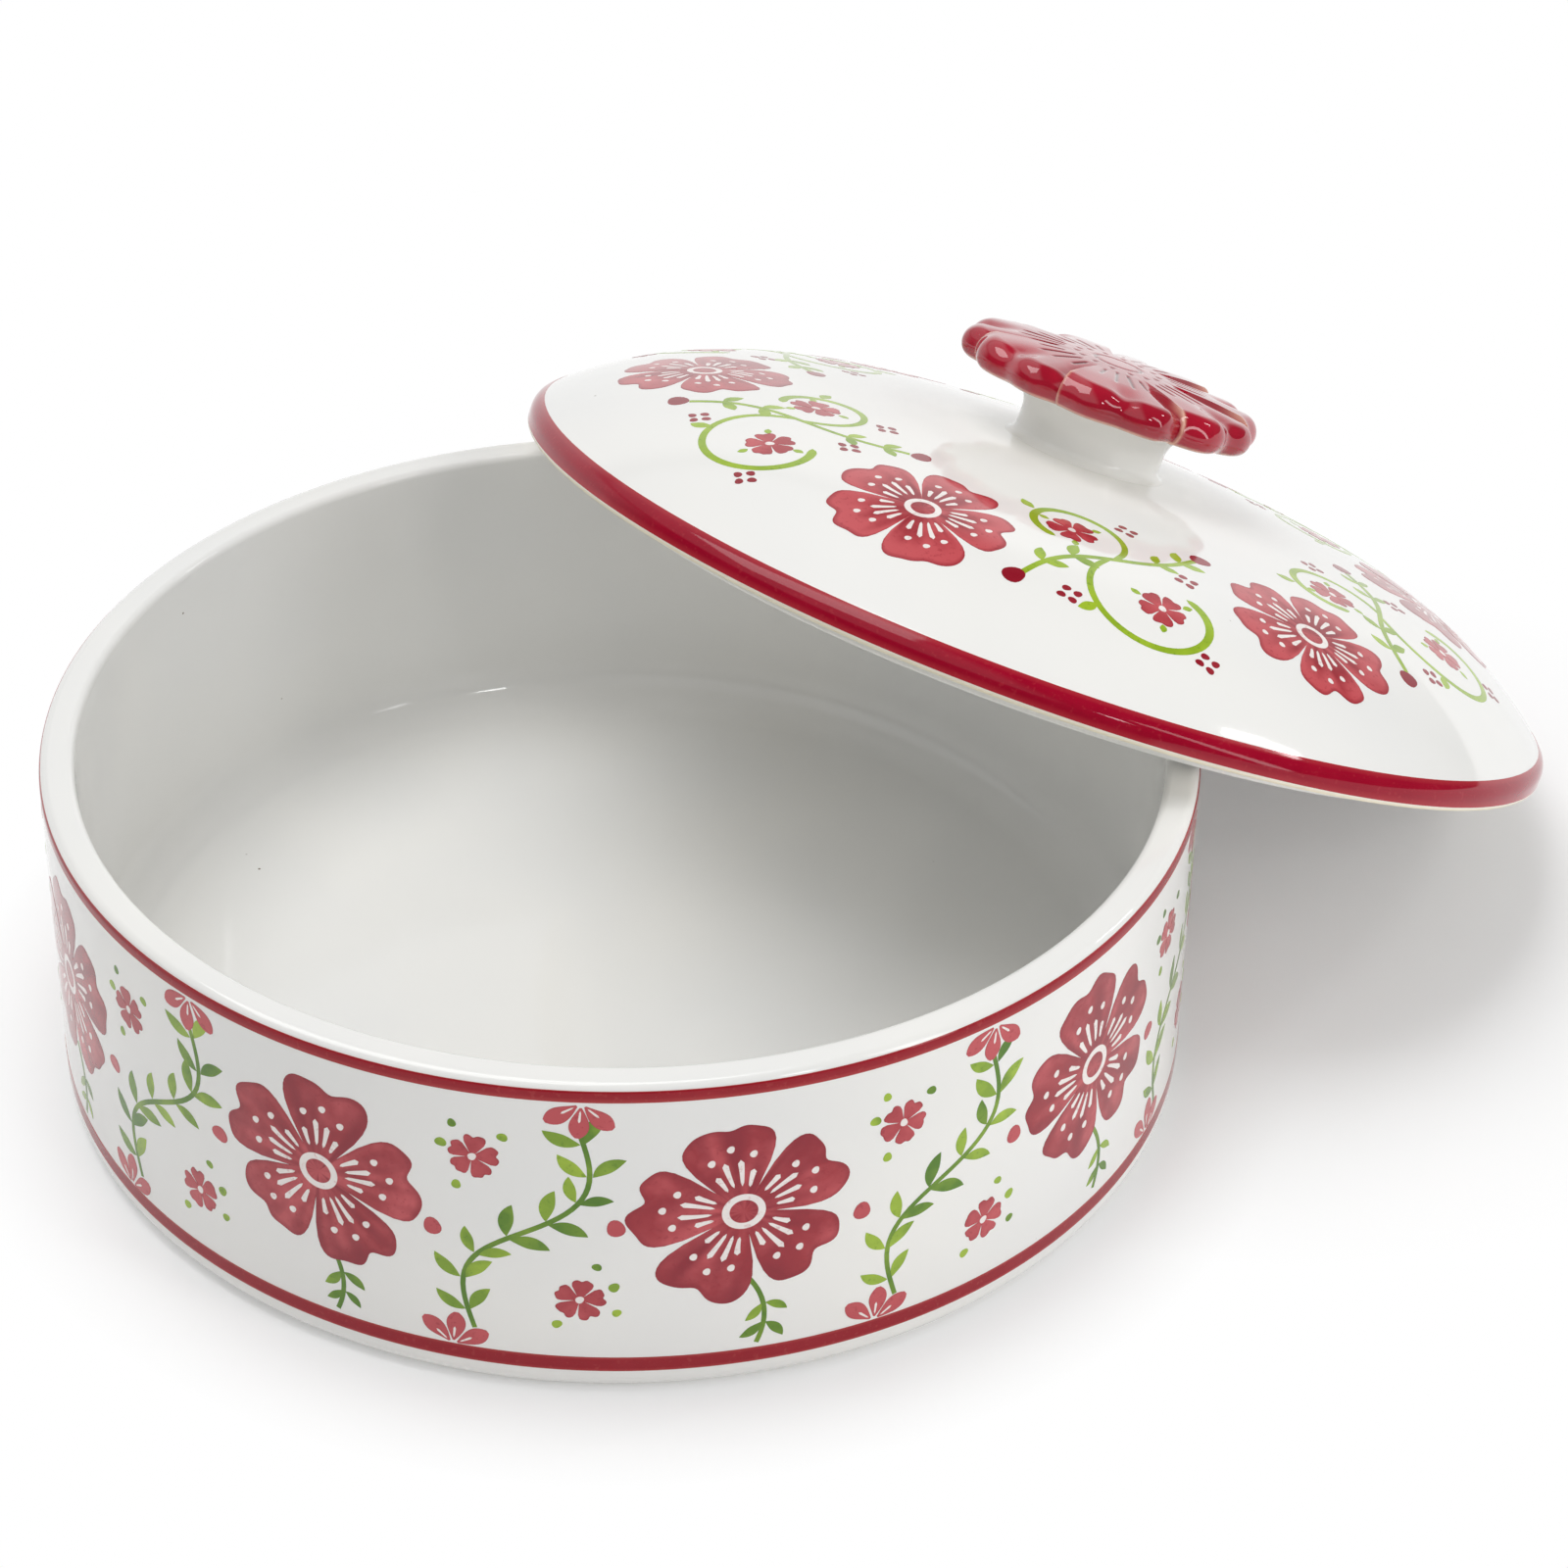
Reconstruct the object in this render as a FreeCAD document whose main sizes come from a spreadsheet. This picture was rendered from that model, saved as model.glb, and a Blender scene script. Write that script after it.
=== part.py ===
"""Tortilla warmer: a round stoneware dish with a domed lid that leans against it.

The frame's origin is the centre of the dish's foot, on the surface that it stands on. +Z is up and
+X points at the side where the lid leans. Lengths are in millimetres and angles in degrees.
"""
import FreeCAD, Part
import math
import os

import Sketcher

# Every driving dimension, written once: alias, value and what it is.
DIMENSIONS = [
    # dish
    ("dish_radius", 130.0, "outside of the dish's straight wall"),
    ("dish_height", 82.5, "foot to the top of the rim"),
    ("dish_wall", 8.0, "wall thickness, and the width of the rounded rim"),
    ("dish_floor", 8.0, "floor thickness"),
    ("dish_corner", 12.0, "inside corner between floor and wall"),
    ("foot_round", 5.0, "outside corner between wall and foot"),
    ("foot_width", 10.0, "width of the ring that the dish stands on"),
    ("foot_recess", 2.5, "how far the underside is set up inside the ring"),
    # lid
    ("lid_radius", 132.0, "outside of the lid's edge"),
    ("lid_rise", 36.6, "lip to the top of the dome"),
    ("lid_wall", 6.0, "thickness of the dome"),
    ("crown_radius", 480.0, "curvature of the middle of the dome"),
    ("shoulder_radius", 100.0, "curvature of the dome's outer part"),
    ("edge_height", 3.2, "lip to the top of the upright edge"),
    ("edge_round", 4.0, "round between the upright edge and the dome"),
    ("lip_round", 1.2, "round between the upright edge and the lip"),
    ("flange_depth", 3.5, "how far the locating ring hangs under the lip"),
    ("flange_width", 5.0, "thickness of the locating ring"),
    ("flange_clearance", 1.5, "play between the locating ring and the dish's wall"),
    ("flange_corner", 6.0, "inside corner between the locating ring and the dome"),
    # knob
    ("neck_waist", 18.5, "radius of the knob's neck where it is thinnest"),
    ("neck_rise", 13.0, "top of the dome to the underside of the flower"),
    ("neck_foot_radius", 20.5, "where the neck ends on the dome"),
    ("neck_foot_round", 3.5, "flare from the neck to the dome"),
    ("neck_head_radius", 23.5, "where the neck ends under the flower"),
    ("neck_head_round", 8.0, "flare from the neck to the flower"),
    ("petal_count", 7, "petals on the flower"),
    ("petal_reach", 38.2, "radius of the flower at its widest"),
    ("lobe_radius", 10.0, "curvature of the two lobes of a petal"),
    ("lobe_turn", 11.0, "angle from a petal's middle to each of its lobes"),
    ("flower_thickness", 10.4, "underside to the crown of the flower"),
    ("flower_girth", 4.0, "underside to the widest level of the flower"),
    ("flower_brow", 4.6, "round between the flower's edge and its top"),
    ("flower_turn", 16.4, "angle from +X to the middle of the first petal"),
    # how the lid leans
    ("lean_angle", 26.3, "tilt of the lid against the dish"),
    ("contact_gap", 0.3, "gap left where the lid meets the rim and the table"),
]

doc = FreeCAD.newDocument("tortilla_warmer")
sheet = doc.addObject("Spreadsheet::Sheet", "dims")
for row, (alias, value, meaning) in enumerate(DIMENSIONS, start=1):
    sheet.set(f"A{row}", meaning)
    sheet.set(f"B{row}", str(value))
    sheet.setAlias(f"B{row}", alias)
doc.recompute()


def size(alias):
    """The value of a driving dimension."""
    return float(sheet.get(alias))


def add_body(name):
    """A PartDesign body whose Label is also the name of its file."""
    body = doc.addObject("PartDesign::Body", name)
    body.Label = name
    return body


def origin_feature(body, role):
    """One of the body's own origin planes or axes."""
    for feature in body.Origin.OriginFeatures:
        if feature.Role == role:
            return feature
    raise ValueError(f"{body.Label} has no {role}")


def add_sketch(body, name, role="XZ_Plane"):
    """A sketch on one of the body's origin planes: on XZ_Plane its x is radius and its y is height."""
    sketch = body.newObject("Sketcher::SketchObject", name)
    sketch.AttachmentSupport = [(origin_feature(body, role), "")]
    sketch.MapMode = "FlatFace"
    return sketch


def point(x, y):
    return FreeCAD.Vector(x, y, 0)


def arc_between(center, start, end):
    """The counter-clockwise arc about center from start to end."""
    radius = math.dist(center, start)
    first = math.atan2(start[1] - center[1], start[0] - center[0])
    last = math.atan2(end[1] - center[1], end[0] - center[0])
    return Part.ArcOfCircle(Part.Circle(point(*center), FreeCAD.Vector(0, 0, 1), radius), first, last)


# Sketcher counts the points of a piece up from 1 and its own axes down from -1.
START, END, CENTER = range(1, 4)
H_AXIS, V_AXIS = range(-1, -3, -1)
# The sketch's origin is the start of its first axis.
ORIGIN, AXIS_POINT = H_AXIS, START

# How far a cutting outline runs past what it cuts.
CUT_MARGIN = 2.0

# How finely the lid's resting place is looked for: points round half the ring, and millimetres.
CONTACT_STEPS = 720
CONTACT_STRIDE = 2.0
CONTACT_TOLERANCE = 0.001


class Profile:
    """A closed sketch outline, built piece by piece and held by named constraints."""

    def __init__(self, sketch):
        self.sketch = sketch

    def line(self, start, end):
        return self.sketch.addGeometry(Part.LineSegment(point(*start), point(*end)), False)

    def arc(self, center, start, end):
        return self.sketch.addGeometry(arc_between(center, start, end), False)

    def hold(self, *args):
        return self.sketch.addConstraint(Sketcher.Constraint(*args))

    def drive(self, expression, *args):
        """A constraint whose value follows the sheet."""
        index = self.hold(*args)
        self.sketch.setExpression(f"Constraints[{index}]", expression)
        return index

    def join(self, *ends):
        """Make each pair of (geometry, end) points one point."""
        for (first, first_end), (second, second_end) in ends:
            self.hold("Coincident", first, first_end, second, second_end)

    def join_smooth(self, first, first_end, second, second_end):
        """Join two pieces end to end with no corner."""
        self.hold("Tangent", first, first_end, second, second_end)


def revolve(body, sketch, name):
    """Turn a sketch that lies beside the upright axis into a solid."""
    feature = body.newObject("PartDesign::Revolution", name)
    feature.Profile = sketch
    feature.ReferenceAxis = (origin_feature(body, "Z_Axis"), [""])
    feature.Angle = 360.0
    return feature


def build_dish():
    """The dish: straight wall, full-round rim, flat floor and a recessed underside."""
    body = add_body("dish")
    sketch = add_sketch(body, "dish_section")
    draw = Profile(sketch)
    outer, height, wall = size("dish_radius"), size("dish_height"), size("dish_wall")
    inner = outer - wall
    recess, floor_top = size("foot_recess"), size("foot_recess") + size("dish_floor")
    foot_round, corner = size("foot_round"), size("dish_corner")
    ring = outer - foot_round - size("foot_width")
    rim_level = height - wall / 2

    underside = draw.line((0, recess), (ring, recess))
    step = draw.line((ring, recess), (ring, 0))
    foot = draw.line((ring, 0), (outer - foot_round, 0))
    heel = draw.arc((outer - foot_round, foot_round), (outer - foot_round, 0), (outer, foot_round))
    outside = draw.line((outer, foot_round), (outer, rim_level))
    rim = draw.arc((outer - wall / 2, rim_level), (outer, rim_level), (inner, rim_level))
    inside = draw.line((inner, rim_level), (inner, floor_top + corner))
    cove_center = (inner - corner, floor_top + corner)
    cove = draw.arc(cove_center, (inner - corner, floor_top), (inner, floor_top + corner))
    floor = draw.line((inner - corner, floor_top), (0, floor_top))
    middle = draw.line((0, floor_top), (0, recess))

    draw.join(
        ((underside, END), (step, START)),
        ((step, END), (foot, START)),
        ((floor, END), (middle, START)),
        ((middle, END), (underside, START)),
    )
    for smooth in (
        (foot, END, heel, START),
        (heel, END, outside, START),
        (outside, END, rim, START),
        (rim, END, inside, START),
        (inside, END, cove, END),
        (cove, START, floor, START),
    ):
        draw.join_smooth(*smooth)
    for level in (underside, foot, floor):
        draw.hold("Horizontal", level)
    for upright in (step, outside, inside, middle):
        draw.hold("Vertical", upright)
    draw.hold("PointOnObject", middle, END, V_AXIS)
    draw.hold("PointOnObject", foot, START, H_AXIS)
    draw.drive("dims.dish_radius", "DistanceX", ORIGIN, AXIS_POINT, outside, END, outer)
    draw.drive(
        "dims.dish_height - dims.dish_wall / 2",
        "DistanceY", ORIGIN, AXIS_POINT, outside, END, rim_level,
    )
    draw.drive("dims.dish_wall / 2", "Radius", rim, wall / 2)
    draw.drive("dims.foot_round", "Radius", heel, foot_round)
    draw.drive("dims.dish_corner", "Radius", cove, corner)
    draw.drive("dims.foot_width", "DistanceX", foot, START, foot, END, size("foot_width"))
    draw.drive("dims.foot_recess", "DistanceY", step, END, step, START, recess)
    draw.drive("dims.dish_floor", "DistanceY", middle, END, middle, START, size("dish_floor"))
    revolve(body, sketch, "dish_turn")
    return body


def crown_junction():
    """Starting places for the dome's two arcs: their centres, where they meet and where the edge begins."""
    crown, shoulder = size("crown_radius"), size("shoulder_radius")
    edge = size("edge_round")
    crown_center = (0.0, size("lid_rise") - crown)
    edge_center = (size("lid_radius") - edge, size("edge_height"))
    # The shoulder's centre is (crown - shoulder) from the crown's and (shoulder - edge) from the edge's.
    reach_crown, reach_edge = crown - shoulder, shoulder - edge
    span_x, span_y = edge_center[0] - crown_center[0], edge_center[1] - crown_center[1]
    span = math.hypot(span_x, span_y)
    along = (reach_crown**2 - reach_edge**2 + span**2) / (2 * span)
    aside = math.sqrt(reach_crown**2 - along**2)
    unit_x, unit_y = span_x / span, span_y / span
    shoulder_center = (
        crown_center[0] + along * unit_x - aside * unit_y,
        crown_center[1] + along * unit_y + aside * unit_x,
    )
    return crown_center, shoulder_center, edge_center


def beyond(first, second, distance):
    """The point at distance from first on the line from first through second."""
    span = math.dist(first, second)
    return tuple(a + (b - a) * distance / span for a, b in zip(first, second))


def build_lid_dome():
    """The lid: a two-arc dome, an upright edge, a flat lip and the ring that keeps it on the dish."""
    body = add_body("lid_dome")
    sketch = add_sketch(body, "lid_section")
    draw = Profile(sketch)
    radius, rise, wall = size("lid_radius"), size("lid_rise"), size("lid_wall")
    crown, shoulder, edge = size("crown_radius"), size("shoulder_radius"), size("edge_round")
    lip, depth = size("lip_round"), size("flange_depth")
    ring_out = size("dish_radius") - size("dish_wall") - size("flange_clearance")
    ring_in = ring_out - size("flange_width")
    crown_center, shoulder_center, edge_center = crown_junction()
    crown_end = beyond(crown_center, shoulder_center, crown)
    shoulder_end = beyond(shoulder_center, edge_center, shoulder)
    under_end = beyond(crown_center, shoulder_center, crown - wall)
    inner_shoulder, corner = shoulder - wall, size("flange_corner")
    corner_x = ring_in - corner
    corner_lift = math.sqrt((inner_shoulder - corner) ** 2 - (corner_x - shoulder_center[0]) ** 2)
    corner_center = (corner_x, shoulder_center[1] + corner_lift)
    corner_end = beyond(shoulder_center, corner_center, inner_shoulder)

    crown_top = draw.arc(crown_center, crown_end, (0, rise))
    shoulder_top = draw.arc(shoulder_center, shoulder_end, crown_end)
    brow = draw.arc(edge_center, (radius, edge_center[1]), shoulder_end)
    side = draw.line((radius, edge_center[1]), (radius, lip))
    lip_arc = draw.arc((radius - lip, lip), (radius - lip, 0), (radius, lip))
    seat = draw.line((radius - lip, 0), (ring_out, 0))
    ring_side = draw.line((ring_out, 0), (ring_out, -depth))
    ring_sole = draw.line((ring_out, -depth), (ring_in, -depth))
    ring_inside = draw.line((ring_in, -depth), (ring_in, corner_center[1]))
    corner_arc = draw.arc(corner_center, (ring_in, corner_center[1]), corner_end)
    shoulder_under = draw.arc(shoulder_center, corner_end, under_end)
    crown_under = draw.arc(crown_center, under_end, (0, rise - wall))
    middle = draw.line((0, rise - wall), (0, rise))

    draw.join(
        ((seat, END), (ring_side, START)),
        ((ring_side, END), (ring_sole, START)),
        ((ring_sole, END), (ring_inside, START)),
        ((crown_under, END), (middle, START)),
        ((middle, END), (crown_top, END)),
        ((crown_top, CENTER), (crown_under, CENTER)),
        ((shoulder_top, CENTER), (shoulder_under, CENTER)),
    )
    for smooth in (
        (crown_top, START, shoulder_top, END),
        (shoulder_top, START, brow, END),
        (brow, START, side, START),
        (side, END, lip_arc, END),
        (lip_arc, START, seat, START),
        (ring_inside, END, corner_arc, START),
        (corner_arc, END, shoulder_under, START),
        (shoulder_under, END, crown_under, START),
    ):
        draw.join_smooth(*smooth)
    for level in (seat, ring_sole):
        draw.hold("Horizontal", level)
    for upright in (side, ring_side, ring_inside):
        draw.hold("Vertical", upright)
    draw.hold("PointOnObject", middle, START, V_AXIS)
    draw.hold("PointOnObject", middle, END, V_AXIS)
    draw.hold("PointOnObject", crown_top, CENTER, V_AXIS)
    draw.hold("PointOnObject", seat, END, H_AXIS)
    draw.drive("dims.lid_rise", "DistanceY", ORIGIN, AXIS_POINT, middle, END, rise)
    draw.drive("dims.lid_wall", "DistanceY", middle, START, middle, END, wall)
    draw.drive("dims.crown_radius", "Radius", crown_top, crown)
    draw.drive("dims.shoulder_radius", "Radius", shoulder_top, shoulder)
    draw.drive("dims.edge_round", "Radius", brow, edge)
    draw.drive("dims.lip_round", "Radius", lip_arc, lip)
    draw.drive("dims.flange_corner", "Radius", corner_arc, corner)
    draw.drive("dims.lid_radius", "DistanceX", ORIGIN, AXIS_POINT, side, START, radius)
    draw.drive("dims.edge_height", "DistanceY", ORIGIN, AXIS_POINT, side, START, edge_center[1])
    draw.drive(
        "dims.dish_radius - dims.dish_wall - dims.flange_clearance",
        "DistanceX", ORIGIN, AXIS_POINT, seat, END, ring_out,
    )
    draw.drive("dims.flange_width", "DistanceX", ring_sole, END, ring_sole, START, size("flange_width"))
    draw.drive("dims.flange_depth", "DistanceY", ring_side, END, ring_side, START, depth)
    revolve(body, sketch, "lid_turn")
    return body


def build_knob_neck():
    """The neck between dome and flower, in the lid's own frame. Its foot follows the dome."""
    body = add_body("knob_neck")
    sketch = add_sketch(body, "neck_section")
    draw = Profile(sketch)
    rise, crown, waist = size("lid_rise"), size("crown_radius"), size("neck_waist")
    foot_round, head_round = size("neck_foot_round"), size("neck_head_round")
    foot_x, head_x = size("neck_foot_radius"), size("neck_head_radius")
    head_y = rise + size("neck_rise")
    crown_center = (0.0, rise - crown)
    foot_y = crown_center[1] + math.sqrt(crown**2 - foot_x**2)
    foot_center = (waist + foot_round, foot_y + math.sqrt(foot_round**2 - (waist + foot_round - foot_x) ** 2))
    head_center = (waist + head_round, head_y - math.sqrt(head_round**2 - (waist + head_round - head_x) ** 2))

    sole = draw.arc(crown_center, (foot_x, foot_y), (0, rise))
    foot = draw.arc(foot_center, (waist, foot_center[1]), (foot_x, foot_y))
    side = draw.line((waist, foot_center[1]), (waist, head_center[1]))
    head = draw.arc(head_center, (head_x, head_y), (waist, head_center[1]))
    top = draw.line((head_x, head_y), (0, head_y))
    middle = draw.line((0, head_y), (0, rise))

    draw.join(
        ((sole, START), (foot, END)),
        ((head, START), (top, START)),
        ((top, END), (middle, START)),
        ((middle, END), (sole, END)),
    )
    draw.join_smooth(foot, START, side, START)
    draw.join_smooth(side, END, head, END)
    draw.hold("Horizontal", top)
    draw.hold("Vertical", side)
    draw.hold("PointOnObject", middle, START, V_AXIS)
    draw.hold("PointOnObject", middle, END, V_AXIS)
    draw.hold("PointOnObject", sole, CENTER, V_AXIS)
    draw.drive("dims.lid_rise", "DistanceY", ORIGIN, AXIS_POINT, middle, END, rise)
    draw.drive("dims.neck_rise", "DistanceY", middle, END, middle, START, size("neck_rise"))
    draw.drive("dims.crown_radius", "Radius", sole, crown)
    draw.drive("dims.neck_foot_round", "Radius", foot, foot_round)
    draw.drive("dims.neck_head_round", "Radius", head, head_round)
    draw.drive("dims.neck_waist", "DistanceX", ORIGIN, AXIS_POINT, side, START, waist)
    draw.drive("dims.neck_foot_radius", "DistanceX", ORIGIN, AXIS_POINT, sole, START, foot_x)
    draw.drive("dims.neck_head_radius", "DistanceX", ORIGIN, AXIS_POINT, top, START, head_x)
    revolve(body, sketch, "neck_turn")
    return body


def turn_away(body, sketch, name):
    """Cut a sketch's region away from the body all round the upright axis."""
    before = body.Shape.Volume
    groove = body.newObject("PartDesign::Groove", name)
    groove.Profile = sketch
    groove.ReferenceAxis = (origin_feature(body, "Z_Axis"), [""])
    groove.Angle = 360.0
    body.Tip = groove
    doc.recompute()
    if not body.Shape.Volume < before:
        raise RuntimeError(f"{name} cut nothing")


def shape_flower_top(body):
    """Round the petals over into a gently domed top."""
    sketch = add_sketch(body, "flower_top")
    draw = Profile(sketch)
    reach, top = size("petal_reach"), size("flower_thickness")
    girth, brow = size("flower_girth"), size("flower_brow")
    reach_in, rise_over = reach - brow, top - girth
    dome = (reach_in**2 + rise_over**2 - brow**2) / (2 * (rise_over - brow))
    dome_center, brow_center = (0.0, top - dome), (reach_in, girth)
    shoulder = beyond(dome_center, brow_center, dome)

    dome_arc = draw.arc(dome_center, shoulder, (0, top))
    brow_arc = draw.arc(brow_center, (reach, girth), shoulder)
    out = draw.line((reach, girth), (reach + CUT_MARGIN, girth))
    up = draw.line((reach + CUT_MARGIN, girth), (reach + CUT_MARGIN, top + CUT_MARGIN))
    back = draw.line((reach + CUT_MARGIN, top + CUT_MARGIN), (0, top + CUT_MARGIN))
    middle = draw.line((0, top + CUT_MARGIN), (0, top))
    draw.join(
        ((brow_arc, START), (out, START)),
        ((out, END), (up, START)),
        ((up, END), (back, START)),
        ((back, END), (middle, START)),
        ((middle, END), (dome_arc, END)),
    )
    draw.join_smooth(dome_arc, START, brow_arc, END)
    draw.hold("PointOnObject", dome_arc, CENTER, V_AXIS)
    draw.hold("PointOnObject", middle, START, V_AXIS)
    draw.hold("PointOnObject", middle, END, V_AXIS)
    draw.hold("Horizontal", out)
    draw.hold("Vertical", up)
    draw.hold("Horizontal", back)
    draw.hold("DistanceX", out, START, out, END, CUT_MARGIN)
    draw.hold("DistanceY", middle, END, middle, START, CUT_MARGIN)
    draw.drive("dims.flower_brow", "Radius", brow_arc, brow)
    draw.drive(
        "dims.petal_reach - dims.flower_brow",
        "DistanceX", ORIGIN, AXIS_POINT, brow_arc, CENTER, reach_in,
    )
    draw.drive("dims.flower_girth", "DistanceY", ORIGIN, AXIS_POINT, brow_arc, CENTER, girth)
    draw.drive("dims.flower_girth", "DistanceY", ORIGIN, AXIS_POINT, brow_arc, START, girth)
    draw.drive("dims.flower_thickness", "DistanceY", ORIGIN, AXIS_POINT, middle, END, top)
    turn_away(body, sketch, "top_round")


def shape_flower_sole(body):
    """Round the petals under, down to a flat underside."""
    sketch = add_sketch(body, "flower_sole")
    draw = Profile(sketch)
    reach, girth = size("petal_reach"), size("flower_girth")
    sole = reach - girth

    under = draw.arc((sole, girth), (sole, 0), (reach, girth))
    out = draw.line((reach, girth), (reach + CUT_MARGIN, girth))
    down = draw.line((reach + CUT_MARGIN, girth), (reach + CUT_MARGIN, -CUT_MARGIN))
    back = draw.line((reach + CUT_MARGIN, -CUT_MARGIN), (sole, -CUT_MARGIN))
    close = draw.line((sole, -CUT_MARGIN), (sole, 0))
    draw.join(
        ((under, END), (out, START)),
        ((out, END), (down, START)),
        ((down, END), (back, START)),
        ((back, END), (close, START)),
        ((close, END), (under, START)),
    )
    draw.hold("Horizontal", out)
    draw.hold("Vertical", down)
    draw.hold("Horizontal", back)
    draw.hold("Vertical", close)
    draw.hold("Vertical", under, START, under, CENTER)
    draw.hold("Horizontal", under, END, under, CENTER)
    draw.hold("DistanceX", out, START, out, END, CUT_MARGIN)
    draw.hold("DistanceY", close, START, close, END, CUT_MARGIN)
    draw.drive("dims.petal_reach - dims.flower_girth", "DistanceX", ORIGIN, AXIS_POINT, under, START, sole)
    draw.drive("dims.flower_girth", "DistanceY", ORIGIN, AXIS_POINT, under, CENTER, girth)
    draw.hold("PointOnObject", under, START, H_AXIS)
    turn_away(body, sketch, "sole_round")


def build_knob_flower():
    """The flower, with its underside at height 0: one petal, repeated round, then shaped by two grooves."""
    body = add_body("knob_flower")
    outline = add_sketch(body, "petal_outline", "XY_Plane")
    draw = Profile(outline)
    reach, lobe, turn = size("petal_reach"), size("lobe_radius"), math.radians(size("lobe_turn"))
    half_petal = math.pi / size("petal_count")
    center_reach = reach - lobe

    def lobes_meet(direction):
        """Radius at which the lobe's circle crosses a direction, counted from the lobe's own."""
        aside = center_reach * math.sin(direction)
        return center_reach * math.cos(direction) + math.sqrt(lobe**2 - aside**2)

    gap = lobes_meet(half_petal - turn)
    left = (gap * math.cos(half_petal), gap * math.sin(half_petal))
    right = (left[0], -left[1])
    dip = (lobes_meet(turn), 0.0)
    left_center = (center_reach * math.cos(turn), center_reach * math.sin(turn))
    right_center = (left_center[0], -left_center[1])
    right_edge = draw.line((0, 0), right)
    right_lobe = draw.arc(right_center, right, dip)
    left_lobe = draw.arc(left_center, dip, left)
    left_edge = draw.line((0, 0), left)
    draw.join(
        ((right_edge, START), (ORIGIN, AXIS_POINT)),
        ((right_edge, END), (right_lobe, START)),
        ((right_lobe, END), (left_lobe, START)),
        ((left_lobe, END), (left_edge, END)),
        ((left_edge, START), (ORIGIN, AXIS_POINT)),
    )
    for arc, side in ((right_lobe, -1), (left_lobe, 1)):
        draw.drive("dims.lobe_radius", "Radius", arc, lobe)
        draw.drive(
            "(dims.petal_reach - dims.lobe_radius) * cos(dims.lobe_turn * 1deg)",
            "DistanceX", ORIGIN, AXIS_POINT, arc, CENTER, left_center[0],
        )
        draw.drive(
            f"{side} * (dims.petal_reach - dims.lobe_radius) * sin(dims.lobe_turn * 1deg)",
            "DistanceY", ORIGIN, AXIS_POINT, arc, CENTER, side * left_center[1],
        )
    draw.drive("-180deg / dims.petal_count", "Angle", right_edge, -half_petal)
    draw.drive("180deg / dims.petal_count", "Angle", left_edge, half_petal)
    pad = body.newObject("PartDesign::Pad", "petal")
    pad.Profile = outline
    pad.setExpression("Length", "dims.flower_thickness")
    doc.recompute()
    petals = body.newObject("PartDesign::PolarPattern", "petals")
    petals.Originals = [pad]
    petals.Axis = (origin_feature(body, "Z_Axis"), [""])
    petals.Angle = 360.0
    petals.setExpression("Occurrences", "dims.petal_count")
    body.Tip = petals
    doc.recompute()
    shape_flower_top(body)
    shape_flower_sole(body)
    return body


def edge_height_over_table(lean):
    """Height of the lip's centre that leaves the lid's low edge contact_gap above the table."""
    lip = size("lip_round")
    return size("contact_gap") + (size("lid_radius") - lip) * math.sin(lean) + lip * (1 - math.cos(lean))


def rim_clearance(circle, lean, shift):
    """Gap between the dish's rim and a circle (radius, height) of the lid whose centre lies at shift."""
    radius, height = circle
    rim_radius = size("dish_wall") / 2
    rim_circle = size("dish_radius") - rim_radius
    rim_level = size("dish_height") - rim_radius
    lip_level = edge_height_over_table(lean)
    nearest = math.inf
    for step in range(CONTACT_STEPS + 1):
        turn = math.pi * step / CONTACT_STEPS
        x = shift + radius * math.cos(turn) * math.cos(lean) + height * math.sin(lean)
        y = radius * math.sin(turn)
        z = lip_level - radius * math.cos(turn) * math.sin(lean) + height * math.cos(lean)
        nearest = min(nearest, math.hypot(math.hypot(x, y) - rim_circle, z - rim_level) - rim_radius)
    return nearest


def lid_clearance(lean, shift):
    """Gap between the dish's rim and the lid's lowest edges: the locating ring's two and the lip's."""
    ring_out = size("dish_radius") - size("dish_wall") - size("flange_clearance")
    ring_in = ring_out - size("flange_width")
    edges = (
        (ring_out, -size("flange_depth")),
        (ring_in, -size("flange_depth")),
        (size("lid_radius") - size("lip_round"), 0.0),
    )
    return min(rim_clearance(edge, lean, shift) for edge in edges)


def lean_shift(lean):
    """How far the lid's centre lies from the dish's when it comes to the rim from outside."""
    wanted = size("contact_gap")
    far = size("dish_radius") + size("lid_radius")
    near = far
    while lid_clearance(lean, near) > wanted:
        far, near = near, near - CONTACT_STRIDE
    while far - near > CONTACT_TOLERANCE:
        middle = (near + far) / 2
        if lid_clearance(lean, middle) > wanted:
            far = middle
        else:
            near = middle
    return far


def lid_placement():
    """Where the lid's own frame lies: centre of the lip, with the knob's axis leaning towards +X."""
    lean = math.radians(size("lean_angle"))
    place = FreeCAD.Vector(lean_shift(lean), 0, edge_height_over_table(lean))
    return FreeCAD.Placement(place, FreeCAD.Rotation(FreeCAD.Vector(0, 1, 0), size("lean_angle")))


def check_document():
    """Stop if a feature failed or a body's shape is missing or faulty."""
    for item in doc.Objects:
        if "Invalid" in item.State or "Error" in item.State:
            raise RuntimeError(f"{item.Label} is {item.State}")
    for body in doc.findObjects("PartDesign::Body"):
        if body.Shape.isNull() or not body.Shape.isValid() or len(body.Shape.Solids) != 1:
            raise RuntimeError(f"{body.Label} is not one sound solid")


bodies = [build_dish(), build_lid_dome(), build_knob_neck(), build_knob_flower()]
dish, lid_dome, knob_neck, knob_flower = bodies
lid_frame = lid_placement()
flower_seat = FreeCAD.Placement(
    FreeCAD.Vector(0, 0, size("lid_rise") + size("neck_rise")),
    FreeCAD.Rotation(FreeCAD.Vector(0, 0, 1), size("flower_turn")),
)
lid_dome.Placement = lid_frame
knob_neck.Placement = lid_frame
knob_flower.Placement = lid_frame.multiply(flower_seat)
doc.recompute()
check_document()

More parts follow.
